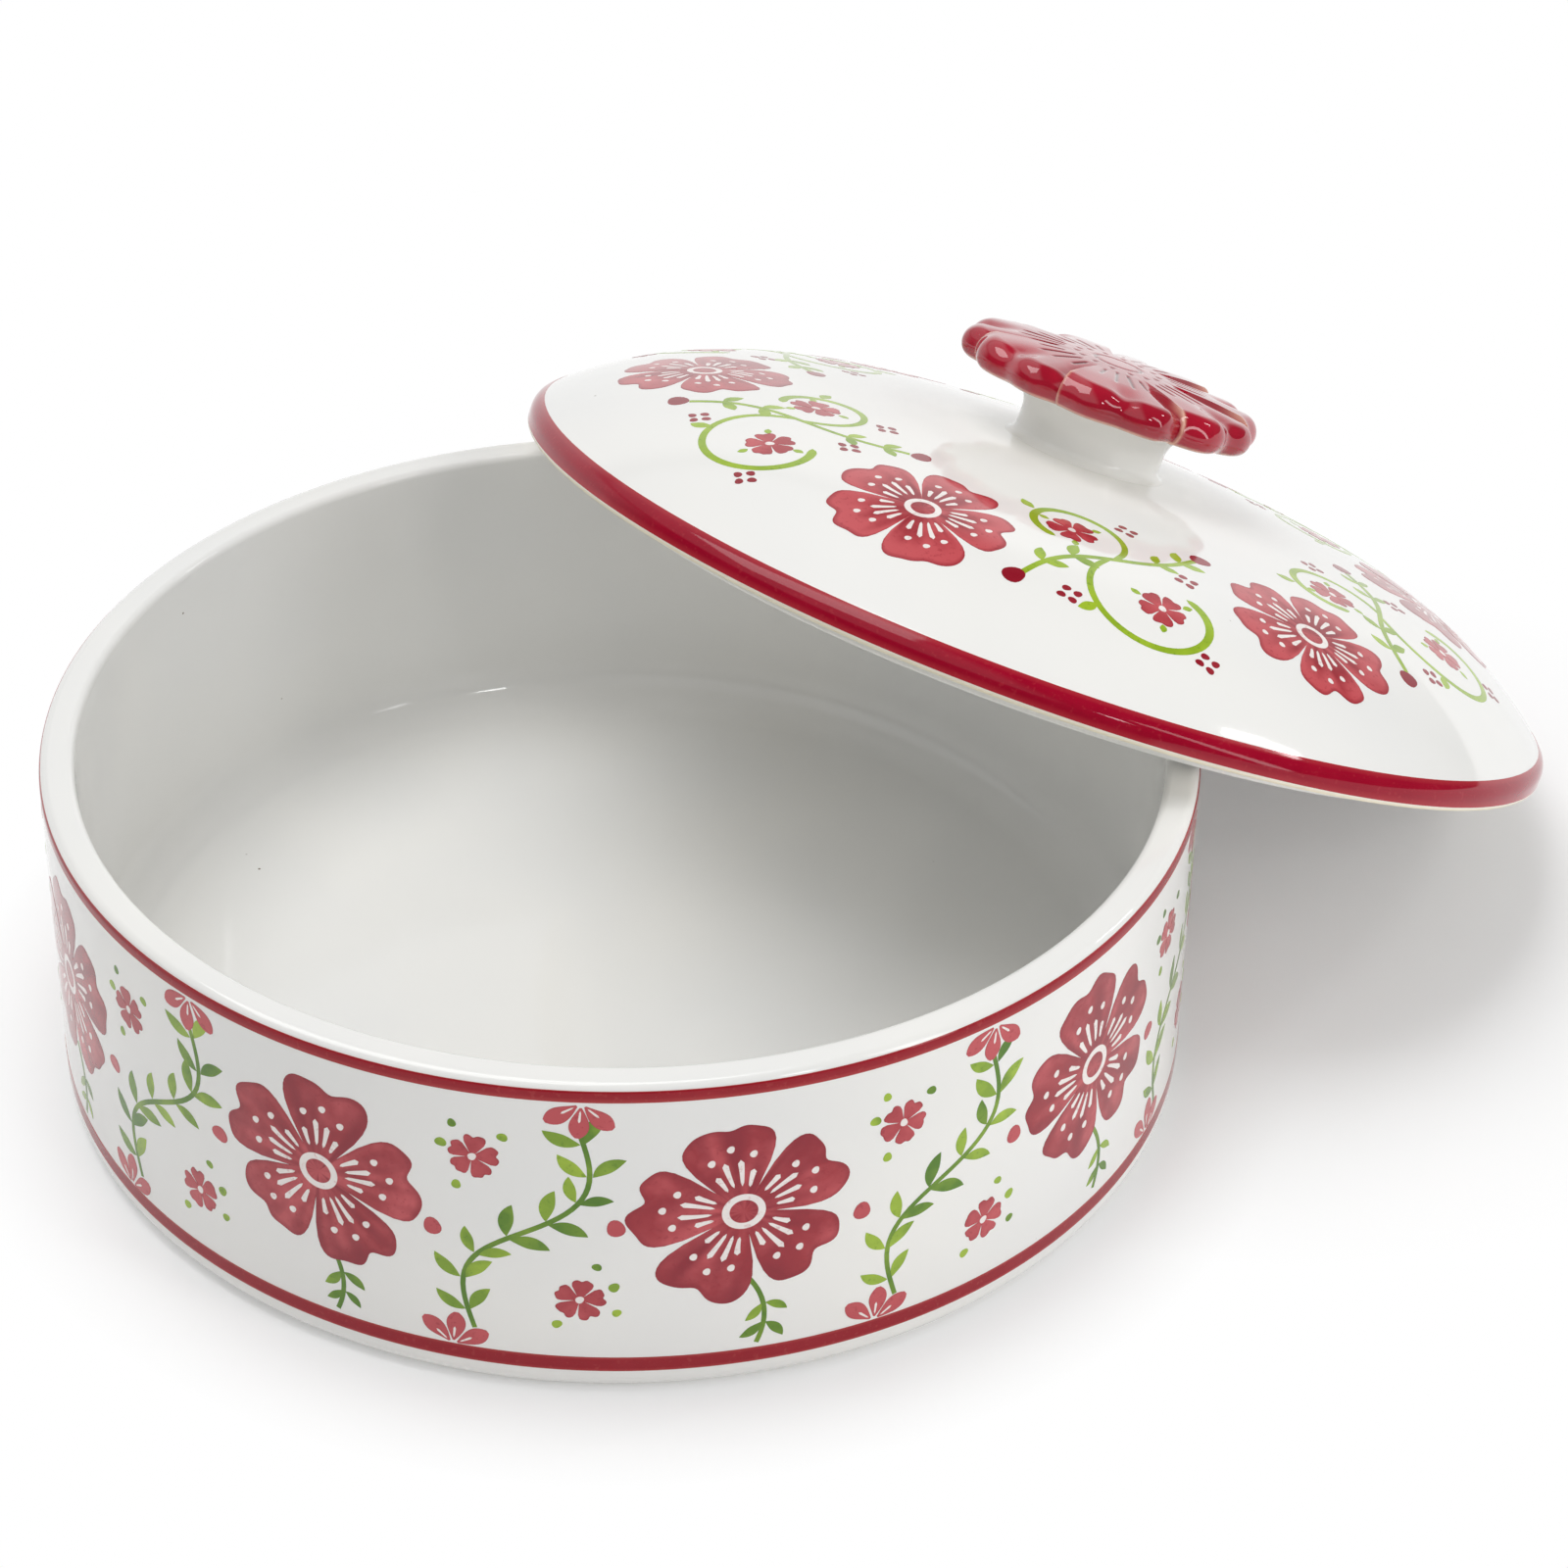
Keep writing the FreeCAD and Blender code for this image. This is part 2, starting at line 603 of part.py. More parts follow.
os.makedirs("parts", exist_ok=True)
for body in bodies:
    body.Shape.exportStep(f"parts/{body.Label}.step")
    print(body.Label, round(body.Shape.Volume), "cubic millimetres")
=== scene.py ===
"""The looks of the tortilla warmer: glazed dish and lid, painted ornament and the flower knob.

Lengths of the ware are in millimetres until a mesh is made. Those of shaders, camera, lamps and
floor are in metres. A lid piece is drawn in the lid's own frame, with its lip at height 0 and the
knob's axis upright, and then laid in the lid's leaning place.
"""

import math
import random

import bpy
from mathutils import Matrix, Vector, noise


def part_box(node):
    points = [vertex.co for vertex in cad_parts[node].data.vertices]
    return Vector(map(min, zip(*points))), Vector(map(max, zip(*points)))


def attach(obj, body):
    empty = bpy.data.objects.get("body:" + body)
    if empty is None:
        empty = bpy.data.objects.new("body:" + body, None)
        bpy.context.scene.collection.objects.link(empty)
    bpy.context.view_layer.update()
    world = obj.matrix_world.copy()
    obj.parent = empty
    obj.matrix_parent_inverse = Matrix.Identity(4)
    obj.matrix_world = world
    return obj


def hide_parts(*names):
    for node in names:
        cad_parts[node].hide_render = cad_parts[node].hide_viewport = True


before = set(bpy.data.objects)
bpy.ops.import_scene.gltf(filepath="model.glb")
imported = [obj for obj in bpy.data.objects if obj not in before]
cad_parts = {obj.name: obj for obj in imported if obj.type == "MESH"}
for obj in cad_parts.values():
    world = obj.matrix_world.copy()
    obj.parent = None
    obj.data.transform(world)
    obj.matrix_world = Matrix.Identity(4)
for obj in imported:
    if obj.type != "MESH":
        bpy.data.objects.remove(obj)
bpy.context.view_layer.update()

MM = 0.001

# ---- sizes that the solids have too ----
DISH_RADIUS = 130.0
DISH_HEIGHT = 82.5
DISH_WALL = 8.0
DISH_FLOOR = 8.0
DISH_CORNER = 12.0
FOOT_ROUND = 5.0
FOOT_WIDTH = 10.0
FOOT_RECESS = 2.5
LID_RADIUS = 132.0
LID_RISE = 36.6
LID_WALL = 6.0
CROWN_RADIUS = 480.0
SHOULDER_RADIUS = 100.0
EDGE_HEIGHT = 3.2
EDGE_ROUND = 4.0
LIP_ROUND = 1.2
FLANGE_DEPTH = 3.5
FLANGE_WIDTH = 5.0
FLANGE_CLEARANCE = 1.5
FLANGE_CORNER = 6.0
NECK_WAIST = 18.5
NECK_RISE = 13.0
NECK_HEAD_ROUND = 8.0
PETAL_COUNT = 7
PETAL_REACH = 38.2
FLOWER_CROWN = 10.4
FLOWER_GIRTH = 4.0
FLOWER_BROW = 4.6
FLOWER_TURN = math.radians(16.4)
LEAN = math.radians(26.3)
CONTACT_GAP = 0.3

# ---- sizes that only the looks have, finer than the solids ----
RIM_OUTER_ROUND = 2.4
RIM_INNER_ROUND = 2.0
FOOT_RING_ROUND = 1.0
FLANGE_ROUND = 0.9
NECK_FOOT = 20.6
NECK_FOOT_ROUND = 2.6
NECK_HEAD = 24.5
# The neck's ends run on a little narrower, down into the dome and up into the flower.
NECK_SUNK, NECK_SUNK_INSET = 1.5, 0.3
NECK_RAISED, NECK_RAISED_INSET = 0.5, 0.6
# Bare clay: how high it reaches on the foot's sole and on the lip, and how it ends.
SOLE_BARE_TOP = 0.55
SOLE_BARE_MARGIN = 2.6
LIP_BARE_TOP = 1.6
LIP_BARE_FADE = 0.9
LIP_BARE_MARGIN = 1.0

# ---- glaze and paint ----
# The ware is drawn this much inside the solid, so that the paint ends inside it too.
INSET = 0.10
LEAF_TOP = 0.04
PAINT_TOP = 0.055
MARK_TOP = 0.08
PAINT_UNDER = -0.15
ROUND_STEPS = 288
BLOOM_PETALS = 5
# Blooms go round the dish at a level, and round the lid at a way along the dome from its top.
FLOWERS_ON_DISH = 9
FIRST_ON_DISH = -122
BLOOM_LEVEL = 49
SPRIG_LEVEL = 44.5
DISH_BLOOM_RADIUS = 24.0
DISH_SEED = 100
FLOWERS_ON_LID = 6
FIRST_ON_LID = -104
BLOOM_ALONG = 96
VINE_ALONG = 93.0
LID_BLOOM_RADIUS = 22.5
LID_SEED = 300
# How watery each bloom on the lid was painted, all round.
LID_WASH = (0.75, 0.15, 0.4, 0.7, 0.3, 0.9)


def lid_place():
    """Where the lid's own frame lies, worked out from the box of its solid."""
    reach = (LID_RADIUS - EDGE_ROUND) * math.cos(LEAN) + EDGE_HEIGHT * math.sin(LEAN) + EDGE_ROUND
    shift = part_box("lid_dome")[1].x / MM - reach
    lip_height = (LID_RADIUS - LIP_ROUND) * math.sin(LEAN) + LIP_ROUND * (1 - math.cos(LEAN))
    height = lip_height + CONTACT_GAP
    return Matrix.Translation((shift, 0, height)) @ Matrix.Rotation(LEAN, 4, "Y")


UPRIGHT = Matrix.Identity(4)
LID_PLACE = lid_place()


# ---- meshes ----
def make_piece(name, points, faces, place, body, values, sharp=math.radians(40)):
    """A mesh piece on a body, with named per-point values, smooth up to the sharp angle."""
    mesh = bpy.data.meshes.new(name)
    mesh.from_pydata([(place @ Vector(point)) * MM for point in points], [], faces)
    for title, numbers in values.items():
        layer = mesh.attributes.new(title, "FLOAT", "POINT")
        layer.data.foreach_set("value", numbers)
    mesh.shade_smooth()
    mesh.set_sharp_from_angle(angle=sharp)
    mesh.update()
    piece = bpy.data.objects.new(name, mesh)
    bpy.context.scene.collection.objects.link(piece)
    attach(piece, body)
    return piece


def polar(reach, angle, x=0.0, y=0.0):
    """A flat point at a reach and an angle, in radians, from x and y."""
    return x + reach * math.cos(angle), y + reach * math.sin(angle)


def arc(center, radius, start, end, steps):
    """Points along an arc in a section. Angles are in degrees, from outwards up."""
    turns = [start + (end - start) * step / steps for step in range(steps + 1)]
    return [polar(radius, math.radians(turn), *center) for turn in turns]


def ladder(start, end, steps):
    """Points between two points of a section, without the two themselves."""
    span_x, span_y = end[0] - start[0], end[1] - start[1]
    return [
        (start[0] + span_x * step / steps, start[1] + span_y * step / steps)
        for step in range(1, steps)
    ]


def revolve(section, steps=ROUND_STEPS):
    """Points and faces of a section turned round the upright axis."""
    points, faces, rings = [], [], []
    for reach, height in section:
        # A ring on the axis itself is one point.
        count = steps if reach > 0 else 1
        rings.append([len(points) + step % count for step in range(steps)])
        points += [(*polar(reach, 2 * math.pi * step / steps), height) for step in range(count)]
    for low, high in zip(rings, rings[1:]):
        for step in range(steps):
            after = (step + 1) % steps
            corners = (low[step], low[after], high[after], high[step])
            faces.append(tuple(dict.fromkeys(corners)))
    return points, faces


# ---- the dish ----
def dish_section():
    """Underside, foot, outside wall, rim, inside wall and floor, from axis to axis."""
    outer = DISH_RADIUS - INSET
    inner = DISH_RADIUS - DISH_WALL
    ring = DISH_RADIUS - FOOT_ROUND - FOOT_WIDTH
    outer_level = DISH_HEIGHT - RIM_OUTER_ROUND
    inner_level = DISH_HEIGHT - RIM_INNER_ROUND
    floor_top = FOOT_RECESS + DISH_FLOOR
    round_in, round_out = ring - FOOT_RING_ROUND, ring + FOOT_RING_ROUND
    section = [(0.0, FOOT_RECESS)]
    section += ladder((0.0, FOOT_RECESS), (round_in, FOOT_RECESS), 12)
    section += arc((round_in, FOOT_RECESS - FOOT_RING_ROUND), FOOT_RING_ROUND, 90, 0, 4)
    section += arc((round_out, FOOT_RING_ROUND), FOOT_RING_ROUND, 180, 270, 4)
    section += arc((DISH_RADIUS - FOOT_ROUND, FOOT_ROUND), FOOT_ROUND - INSET, -90, 0, 10)
    section += ladder((outer, FOOT_ROUND), (outer, outer_level), 16)
    section += arc((DISH_RADIUS - RIM_OUTER_ROUND, outer_level), RIM_OUTER_ROUND - INSET, 0, 90, 12)
    section += arc((inner + RIM_INNER_ROUND, inner_level), RIM_INNER_ROUND - INSET, 90, 180, 10)
    section += ladder((inner, inner_level), (inner, floor_top + DISH_CORNER), 12)
    section += arc((inner - DISH_CORNER, floor_top + DISH_CORNER), DISH_CORNER, 0, -90, 12)
    section += ladder((inner - DISH_CORNER, floor_top), (0.0, floor_top), 16)
    return section + [(0.0, floor_top)]


def dish_bare(point):
    """1 on the unglazed sole of the foot ring, 0 elsewhere."""
    reach, height = math.hypot(*point[:2]), point[2]
    inside = DISH_RADIUS - FOOT_ROUND - FOOT_WIDTH - FOOT_RING_ROUND
    return float(height < SOLE_BARE_TOP and inside < reach < DISH_RADIUS - SOLE_BARE_MARGIN)


points, faces = revolve(dish_section())
dish_shell = make_piece(
    "dish_shell", points, faces, UPRIGHT, "dish",
    {"bare": [dish_bare(point) for point in points]},
)
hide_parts("dish")


# ---- the lid ----
CROWN_LOW = LID_RISE - CROWN_RADIUS
EDGE_CENTER = (LID_RADIUS - EDGE_ROUND, EDGE_HEIGHT)


def shoulder_center():
    """Centre of the dome's outer arc, which runs smoothly into the crown and into the edge."""
    reach_crown, reach_edge = CROWN_RADIUS - SHOULDER_RADIUS, SHOULDER_RADIUS - EDGE_ROUND
    span_x, span_y = EDGE_CENTER[0], EDGE_CENTER[1] - CROWN_LOW
    length = math.hypot(span_x, span_y)
    along = (reach_crown**2 - reach_edge**2 + length**2) / (2 * length)
    aside = math.sqrt(reach_crown**2 - along**2)
    x = (along * span_x - aside * span_y) / length
    return x, CROWN_LOW + (along * span_y + aside * span_x) / length


SHOULDER = shoulder_center()
# Angles from upright: where crown meets shoulder, and where shoulder meets edge.
CROWN_TURN = math.atan2(SHOULDER[0], SHOULDER[1] - CROWN_LOW)
SHOULDER_TURN = math.atan2(EDGE_CENTER[0] - SHOULDER[0], EDGE_CENTER[1] - SHOULDER[1])
CROWN_LENGTH = CROWN_RADIUS * CROWN_TURN


def dome(along, lift):
    """Radius and height on the dome, a way along it from its top and a lift off the ware."""
    if along < CROWN_LENGTH:
        turn = along / CROWN_RADIUS
        rise = CROWN_RADIUS - INSET + lift
        return rise * math.sin(turn), CROWN_LOW + rise * math.cos(turn)
    turn = CROWN_TURN + (along - CROWN_LENGTH) / SHOULDER_RADIUS
    rise = SHOULDER_RADIUS - INSET + lift
    return SHOULDER[0] + rise * math.sin(turn), SHOULDER[1] + rise * math.cos(turn)


DOME_LENGTH = CROWN_LENGTH + SHOULDER_RADIUS * (SHOULDER_TURN - CROWN_TURN)


def lid_section():
    """Underside, locating ring, lip, edge and dome, from axis to axis."""
    ring_out = DISH_RADIUS - DISH_WALL - FLANGE_CLEARANCE
    ring_in = ring_out - FLANGE_WIDTH
    inner = SHOULDER_RADIUS - LID_WALL
    corner_x = ring_in - FLANGE_CORNER
    corner_lift = math.sqrt((inner - FLANGE_CORNER) ** 2 - (corner_x - SHOULDER[0]) ** 2)
    corner = (corner_x, SHOULDER[1] + corner_lift)
    corner_turn = math.degrees(math.atan2(corner_lift, corner_x - SHOULDER[0]))
    crown_turn = 90 - math.degrees(CROWN_TURN)
    crown = arc((0.0, CROWN_LOW), CROWN_RADIUS - LID_WALL, 90, crown_turn, 24)
    section = [(0.0, crown[0][1])] + crown[1:-1]
    section += arc(SHOULDER, inner, crown_turn, corner_turn, 16)
    section += arc(corner, FLANGE_CORNER, corner_turn, 0, 6)[1:]
    ring_level = FLANGE_ROUND - FLANGE_DEPTH
    section += arc((ring_in + FLANGE_ROUND, ring_level), FLANGE_ROUND, 180, 270, 4)
    section += arc((ring_out - FLANGE_ROUND, ring_level), FLANGE_ROUND, 270, 360, 4)
    section += arc((ring_out + FLANGE_ROUND, -FLANGE_ROUND), FLANGE_ROUND, 180, 90, 4)
    section += arc((LID_RADIUS - LIP_ROUND, LIP_ROUND), LIP_ROUND - INSET, 270, 360, 6)
    edge_turn = 90 - math.degrees(SHOULDER_TURN)
    section += arc(EDGE_CENTER, EDGE_ROUND - INSET, 0, edge_turn, 8)
    steps = 60
    section += [dome(DOME_LENGTH * (1 - step / steps), 0.0) for step in range(1, steps)]
    return section + [(0.0, LID_RISE - INSET)]


def lid_bare(point):
    """1 on the lip's cream underside, fading out over its outer round."""
    reach, height = math.hypot(*point[:2]), point[2]
    inside = DISH_RADIUS - DISH_WALL - FLANGE_CLEARANCE + LIP_BARE_MARGIN
    if reach < inside or height > LIP_BARE_TOP:
        return 0.0
    return min(1.0, (LIP_BARE_TOP - height) / LIP_BARE_FADE)


points, faces = revolve(lid_section())
lid_shell = make_piece(
    "lid_shell", points, faces, LID_PLACE, "lid",
    {"bare": [lid_bare(point) for point in points]},
)
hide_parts("lid_dome")


# ---- the knob's neck ----
def neck_section():
    """The neck from under the dome's glaze to inside the flower."""
    head_level = LID_RISE + NECK_RISE
    foot_level = CROWN_LOW + math.sqrt(CROWN_RADIUS**2 - NECK_FOOT**2)
    foot = (NECK_WAIST + NECK_FOOT_ROUND, foot_level + NECK_FOOT_ROUND - INSET)
    foot_start = math.degrees(math.asin((NECK_FOOT - foot[0]) / NECK_FOOT_ROUND)) - 90
    head_reach = NECK_WAIST + NECK_HEAD_ROUND
    head_aside = NECK_HEAD - head_reach
    head = (head_reach, head_level - math.sqrt(NECK_HEAD_ROUND**2 - head_aside**2))
    head_end = 180 - math.degrees(math.acos(-head_aside / NECK_HEAD_ROUND))
    low, high = foot_level - NECK_SUNK, head_level + NECK_RAISED
    section = [(0.0, low), (NECK_FOOT - NECK_SUNK_INSET, low)]
    section += arc(foot, NECK_FOOT_ROUND, 360 + foot_start, 180, 14)
    section += arc(head, NECK_HEAD_ROUND, 180, head_end, 14)
    return section + [(NECK_HEAD - NECK_RAISED_INSET, high), (0.0, high)]


points, faces = revolve(neck_section(), 160)
knob_neck_shell = make_piece(
    "knob_neck_shell", points, faces, LID_PLACE, "lid",
    {"bare": [0.0] * len(points)},
)
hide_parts("knob_neck")


# ---- the knob's flower ----
PETAL_ANGLE = 2 * math.pi / PETAL_COUNT
PETAL_STEPS = 80
TOP_STEPS, BROW_STEPS, GIRTH_STEPS, UNDER_STEPS = 60, 12, 8, 9
# Each petal's left edge lies over its neighbour, whose right end sinks in beneath it.
LEFT_LIFT = 0.45
LEFT_TRIM = 2.2
RIGHT_SINK = 1.1
RIGHT_SINK_WIDTH = 2.8
RIGHT_TRIM = 3.2
# The petals part between these radii, and their lobes further out.
PETALS_FROM, PETALS_FULL = 13.0, 27.0
LOBES_FROM, LOBES_FULL = 24.0, 34.0
LOBE_DIP, LOBE_DIP_WIDTH = 1.7, 4.5
LOBE_VALLEY, LOBE_VALLEY_WIDTH = 1.1, 3.0
# Four strokes are cut into each petal: its share of the petal's angle, start and end of each.
STROKES = ((-0.3, 15.5, 23.0), (-0.1, 14.0, 25.5), (0.1, 14.0, 25.5), (0.3, 15.5, 23.0))
STROKE_WIDTH = 0.42
# Nearer the middle are two dots in each petal, and a ring round it all.
DOT_TURNS, DOT_REACH, DOT_WIDTH = (-0.25, 0.25), 10.6, 0.75
RING_REACH, RING_WIDTH = 6.0, 0.5
MARK_DEPTH = 0.32
# The glaze runs thin along each petal's upper edge and along the flower's lowest edge.
THIN_SEAM_WIDTH = 0.42
THIN_SOLE_LEVEL, THIN_SOLE_WIDTH = 0.4, 0.35


def bell(distance, width):
    """1 at distance 0, falling smoothly to nothing over a few widths."""
    return math.exp(-((distance / width) ** 2))


def smooth(start, end, value):
    """0 before start, 1 after end, and a smooth way between them."""
    share = min(1.0, max(0.0, (value - start) / (end - start)))
    return share * share * (3 - 2 * share)


def petal_reach(aside):
    """The flower's radius at an angle from a petal's middle."""
    side = 2 * aside / PETAL_ANGLE
    reach = PETAL_REACH - LOBE_DIP * bell(aside * PETAL_REACH, LOBE_DIP_WIDTH)
    reach -= LEFT_TRIM * smooth(0.5, 1.0, -side) + RIGHT_TRIM * smooth(0.55, 1.0, side)
    return reach


def flower_relief(reach, aside):
    """What petals, lobes and cut marks add to the flower's top, and the marks' depth, 0 to 1."""
    side = 2 * aside / PETAL_ANGLE
    outwards = smooth(PETALS_FROM, PETALS_FULL, reach)
    height = -RIGHT_SINK * outwards * bell((1 - side) * PETAL_ANGLE / 2 * reach, RIGHT_SINK_WIDTH)
    valley = smooth(LOBES_FROM, LOBES_FULL, reach) * bell(aside * reach, LOBE_VALLEY_WIDTH)
    height -= LOBE_VALLEY * valley
    height -= LEFT_LIFT * outwards * side
    mark = bell(reach - RING_REACH, RING_WIDTH)
    for turn, start, end in STROKES:
        # The strokes draw together a little on their way out.
        across = abs(aside - turn * PETAL_ANGLE * (1.12 - reach / 260)) * reach
        begun, ended = smooth(start - 0.6, start + 0.6, reach), smooth(end - 2.0, end + 0.4, reach)
        mark = max(mark, begun * (1 - ended) * bell(across, STROKE_WIDTH))
    for turn in DOT_TURNS:
        across = math.hypot((aside - turn * PETAL_ANGLE) * reach, reach - DOT_REACH)
        mark = max(mark, bell(across, DOT_WIDTH))
    return height - MARK_DEPTH * mark, mark


def flower_section(edge):
    """Section points out to a petal's edge and back, each with its share of the relief."""
    rows = []
    shoulder = edge - FLOWER_BROW
    top = FLOWER_GIRTH + FLOWER_BROW
    for step in range(1, TOP_STEPS + 1):
        share = step / TOP_STEPS
        rows.append((shoulder * share, top + (FLOWER_CROWN - top) * (1 - share**2), 1.0))
    for reach, height in arc((shoulder, FLOWER_GIRTH), FLOWER_BROW, 90, 0, BROW_STEPS)[1:]:
        rows.append((reach, height, ((height - FLOWER_GIRTH) / FLOWER_BROW) ** 2))
    girth = edge - FLOWER_GIRTH
    for reach, height in arc((girth, FLOWER_GIRTH), FLOWER_GIRTH, 0, -90, GIRTH_STEPS)[1:]:
        rows.append((reach, height, 0.0))
    for step in range(1, UNDER_STEPS):
        rows.append((girth * (1 - step / (UNDER_STEPS + 1)), 0.0, 0.0))
    return rows


def build_flower():
    """The flower in its own frame: its underside is at height 0 and its first petal towards +X."""
    around = PETAL_COUNT * PETAL_STEPS
    points = [(0.0, 0.0, FLOWER_CROWN), (0.0, 0.0, 0.0)]
    marks, thins, whites = [0.0, 0.0], [0.0, 0.0], [0.0, 1.0]
    columns = []
    for step in range(around):
        angle = 2 * math.pi * step / around
        aside = (angle + PETAL_ANGLE / 2) % PETAL_ANGLE - PETAL_ANGLE / 2
        edge = petal_reach(aside)
        column = []
        for reach, height, share in flower_section(edge):
            relief, mark = flower_relief(reach, aside)
            column.append(len(points))
            points.append((*polar(reach, angle), height + share * relief))
            marks.append(mark * share)
            seam = bell((PETAL_ANGLE / 2 + aside) * reach, THIN_SEAM_WIDTH)
            seam *= smooth(26.0, 33.0, reach) if height > 0.5 else 0.0
            sole = bell(height - THIN_SOLE_LEVEL, THIN_SOLE_WIDTH)
            thins.append(max(seam, sole * smooth(edge - 4.5, edge - 2.0, reach)))
            whites.append(1 - smooth(0.0, 0.12, height))
        columns.append(column)
    faces = []
    for step in range(around):
        here, after = columns[step], columns[(step + 1) % around]
        faces.append((0, here[0], after[0]))
        faces += [(here[k], here[k + 1], after[k + 1], after[k]) for k in range(len(here) - 1)]
        faces.append((here[-1], 1, after[-1]))
    return points, faces, {"mark": marks, "thin": thins, "white": whites}


FLOWER_PLACE = (
    LID_PLACE
    @ Matrix.Translation((0, 0, LID_RISE + NECK_RISE))
    @ Matrix.Rotation(FLOWER_TURN, 4, "Z")
)
points, faces, values = build_flower()
knob_flower_shell = make_piece(
    "knob_flower_shell", points, faces, FLOWER_PLACE, "lid",
    values, sharp=math.radians(75),
)
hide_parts("knob_flower")


# ---- paint ----
def on_dish(azimuth, level, turn=0.0):
    """A brush place on the dish's wall: its own x runs to the right and its y upwards."""
    across, up = polar(1, math.radians(turn))

    def put(x, y, lift):
        reach = DISH_RADIUS - INSET + lift
        angle = math.radians(azimuth) + (x * across - y * up) / DISH_RADIUS
        return (*polar(reach, angle), level + x * up + y * across)

    return put


def on_lid(azimuth, along, turn=0.0):
    """A brush place on the lid's dome: its own y runs towards the knob."""
    across, up = polar(1, math.radians(turn))

    def put(x, y, lift):
        out = along - (x * up + y * across)
        aside = x * across - y * up
        angle = math.radians(azimuth) + math.atan2(aside, out)
        reach, height = dome(math.hypot(out, aside), lift)
        return (*polar(reach, angle), height)

    return put


class Paint:
    """Painted shapes of one colour, each a thin closed skin whose top is a lift off the ware."""

    def __init__(self, top):
        self.top = top
        self.points, self.faces, self.edge, self.tone = [], [], [], []

    def skin(self, put, spots, faces, edge, tone):
        """Add a shape from its flat points and faces."""
        first = len(self.points)
        low = first + len(spots)
        for lift in (self.top, PAINT_UNDER):
            self.points += [put(x, y, lift) for x, y in spots]
            self.edge += edge
            self.tone += tone
        # A side that two faces share is taken out again, so the outline's sides are left.
        sides = {}
        for face in faces:
            self.faces.append(tuple(first + corner for corner in face))
            self.faces.append(tuple(low + corner for corner in reversed(face)))
            for start, end in zip(face, face[1:] + face[:1]):
                if not sides.pop((end, start), False):
                    sides[(start, end)] = True
        for start, end in sides:
            self.faces.append((first + start, low + start, low + end, first + end))

    def blot(self, put, outline, rings, steps, tone=0.5, brush=None):
        """A filled shape round the place's centre: outline gives its radius at an angle."""
        spots, edge, tones = [(0.0, 0.0)], [0.0], [tone]
        for ring in range(1, rings + 1):
            share = 1 - (1 - ring / rings) ** 1.6
            for step in range(steps):
                angle = 2 * math.pi * step / steps
                spots.append(polar(outline(angle) * share, angle))
                edge.append(share)
                tones.append(tone if brush is None else brush(angle, share))
        faces = []
        for step in range(steps):
            after = (step + 1) % steps
            faces.append((0, 1 + step, 1 + after))
            for ring in range(rings - 1):
                low, high = 1 + ring * steps, 1 + (ring + 1) * steps
                faces.append((low + step, high + step, high + after, low + after))
        self.skin(put, spots, faces, edge, tones)

    def dot(self, put, x, y, radius, tone=0.5, seed=0):
        """A round dab, a little uneven."""
        def outline(angle):
            waver = 0.08 * math.sin(2 * angle + seed) + 0.05 * math.sin(3 * angle + 2 * seed)
            return radius * (1 + waver)

        self.blot(lambda a, b, lift: put(x + a, y + b, lift), outline, 2, 18, tone)

    def stroke(self, put, path, width, steps, lanes, tone=0.5):
        """A brush stroke: path and width are functions of the share of its length."""
        spots, edge = [], []
        for step in range(steps + 1):
            share = step / steps
            x, y = path(share)
            ahead, behind = path(min(1, share + 0.01)), path(max(0, share - 0.01))
            run_x, run_y = ahead[0] - behind[0], ahead[1] - behind[1]
            length = math.hypot(run_x, run_y)
            for lane in range(lanes + 1):
                aside = 2 * lane / lanes - 1
                half = max(0.02, width(share)) * aside
                spots.append((x - half * run_y / length, y + half * run_x / length))
                edge.append(abs(aside))
        faces = []
        for step in range(steps):
            for lane in range(lanes):
                low = step * (lanes + 1) + lane
                high = low + lanes + 1
                faces.append((low + 1, high + 1, high, low))
        self.skin(put, spots, faces, edge, [tone] * len(spots))

    def piece(self, name, place, body, slot):
        """The painted shapes as one piece."""
        make_piece(
            name, self.points, self.faces, place, body,
            {"edge": self.edge, "tone": self.tone}, sharp=math.radians(30),
        )


def line(start, end, bend=0.0):
    """A path from start to end that bows to one side by bend times its length."""
    span_x, span_y = end[0] - start[0], end[1] - start[1]

    def path(share):
        bow = 4 * bend * share * (1 - share)
        x, y = start[0] + span_x * share, start[1] + span_y * share
        return x - span_y * bow, y + span_x * bow

    return path


def tapering(start, end):
    """A width that goes from start to end, with rounded tips."""
    def width(share):
        tip = min(1.0, (share * (1 - share) * 24) ** 0.5)
        return (start + (end - start) * share) * tip

    return width


def bloom_outline(reach, chance, gap=0.42):
    """Outline of a bloom: heart-shaped petals parted by narrow gaps, each a little different."""
    sizes = [reach * chance.uniform(0.95, 1.04) for _ in range(BLOOM_PETALS)]
    notches = [chance.uniform(0.07, 0.13) for _ in range(BLOOM_PETALS)]
    leans = [chance.uniform(-0.12, 0.12) for _ in range(BLOOM_PETALS)]
    phase = chance.uniform(0, 6)

    def outline(angle):
        turn = angle * BLOOM_PETALS / (2 * math.pi)
        petal = math.floor(turn + 0.5)
        aside = 2 * (turn - petal)
        here = petal % BLOOM_PETALS
        body = 1 - 0.13 * abs(aside) ** 2.4 - notches[here] * bell(aside - leans[here], 0.2)
        body -= (1 - gap) * math.exp(-((1 - abs(aside)) / 0.085))
        ripple = 0.02 * math.sin(9 * angle + phase) + 0.012 * math.sin(17 * angle + 2 * phase)
        return sizes[here] * (body + ripple)

    return outline


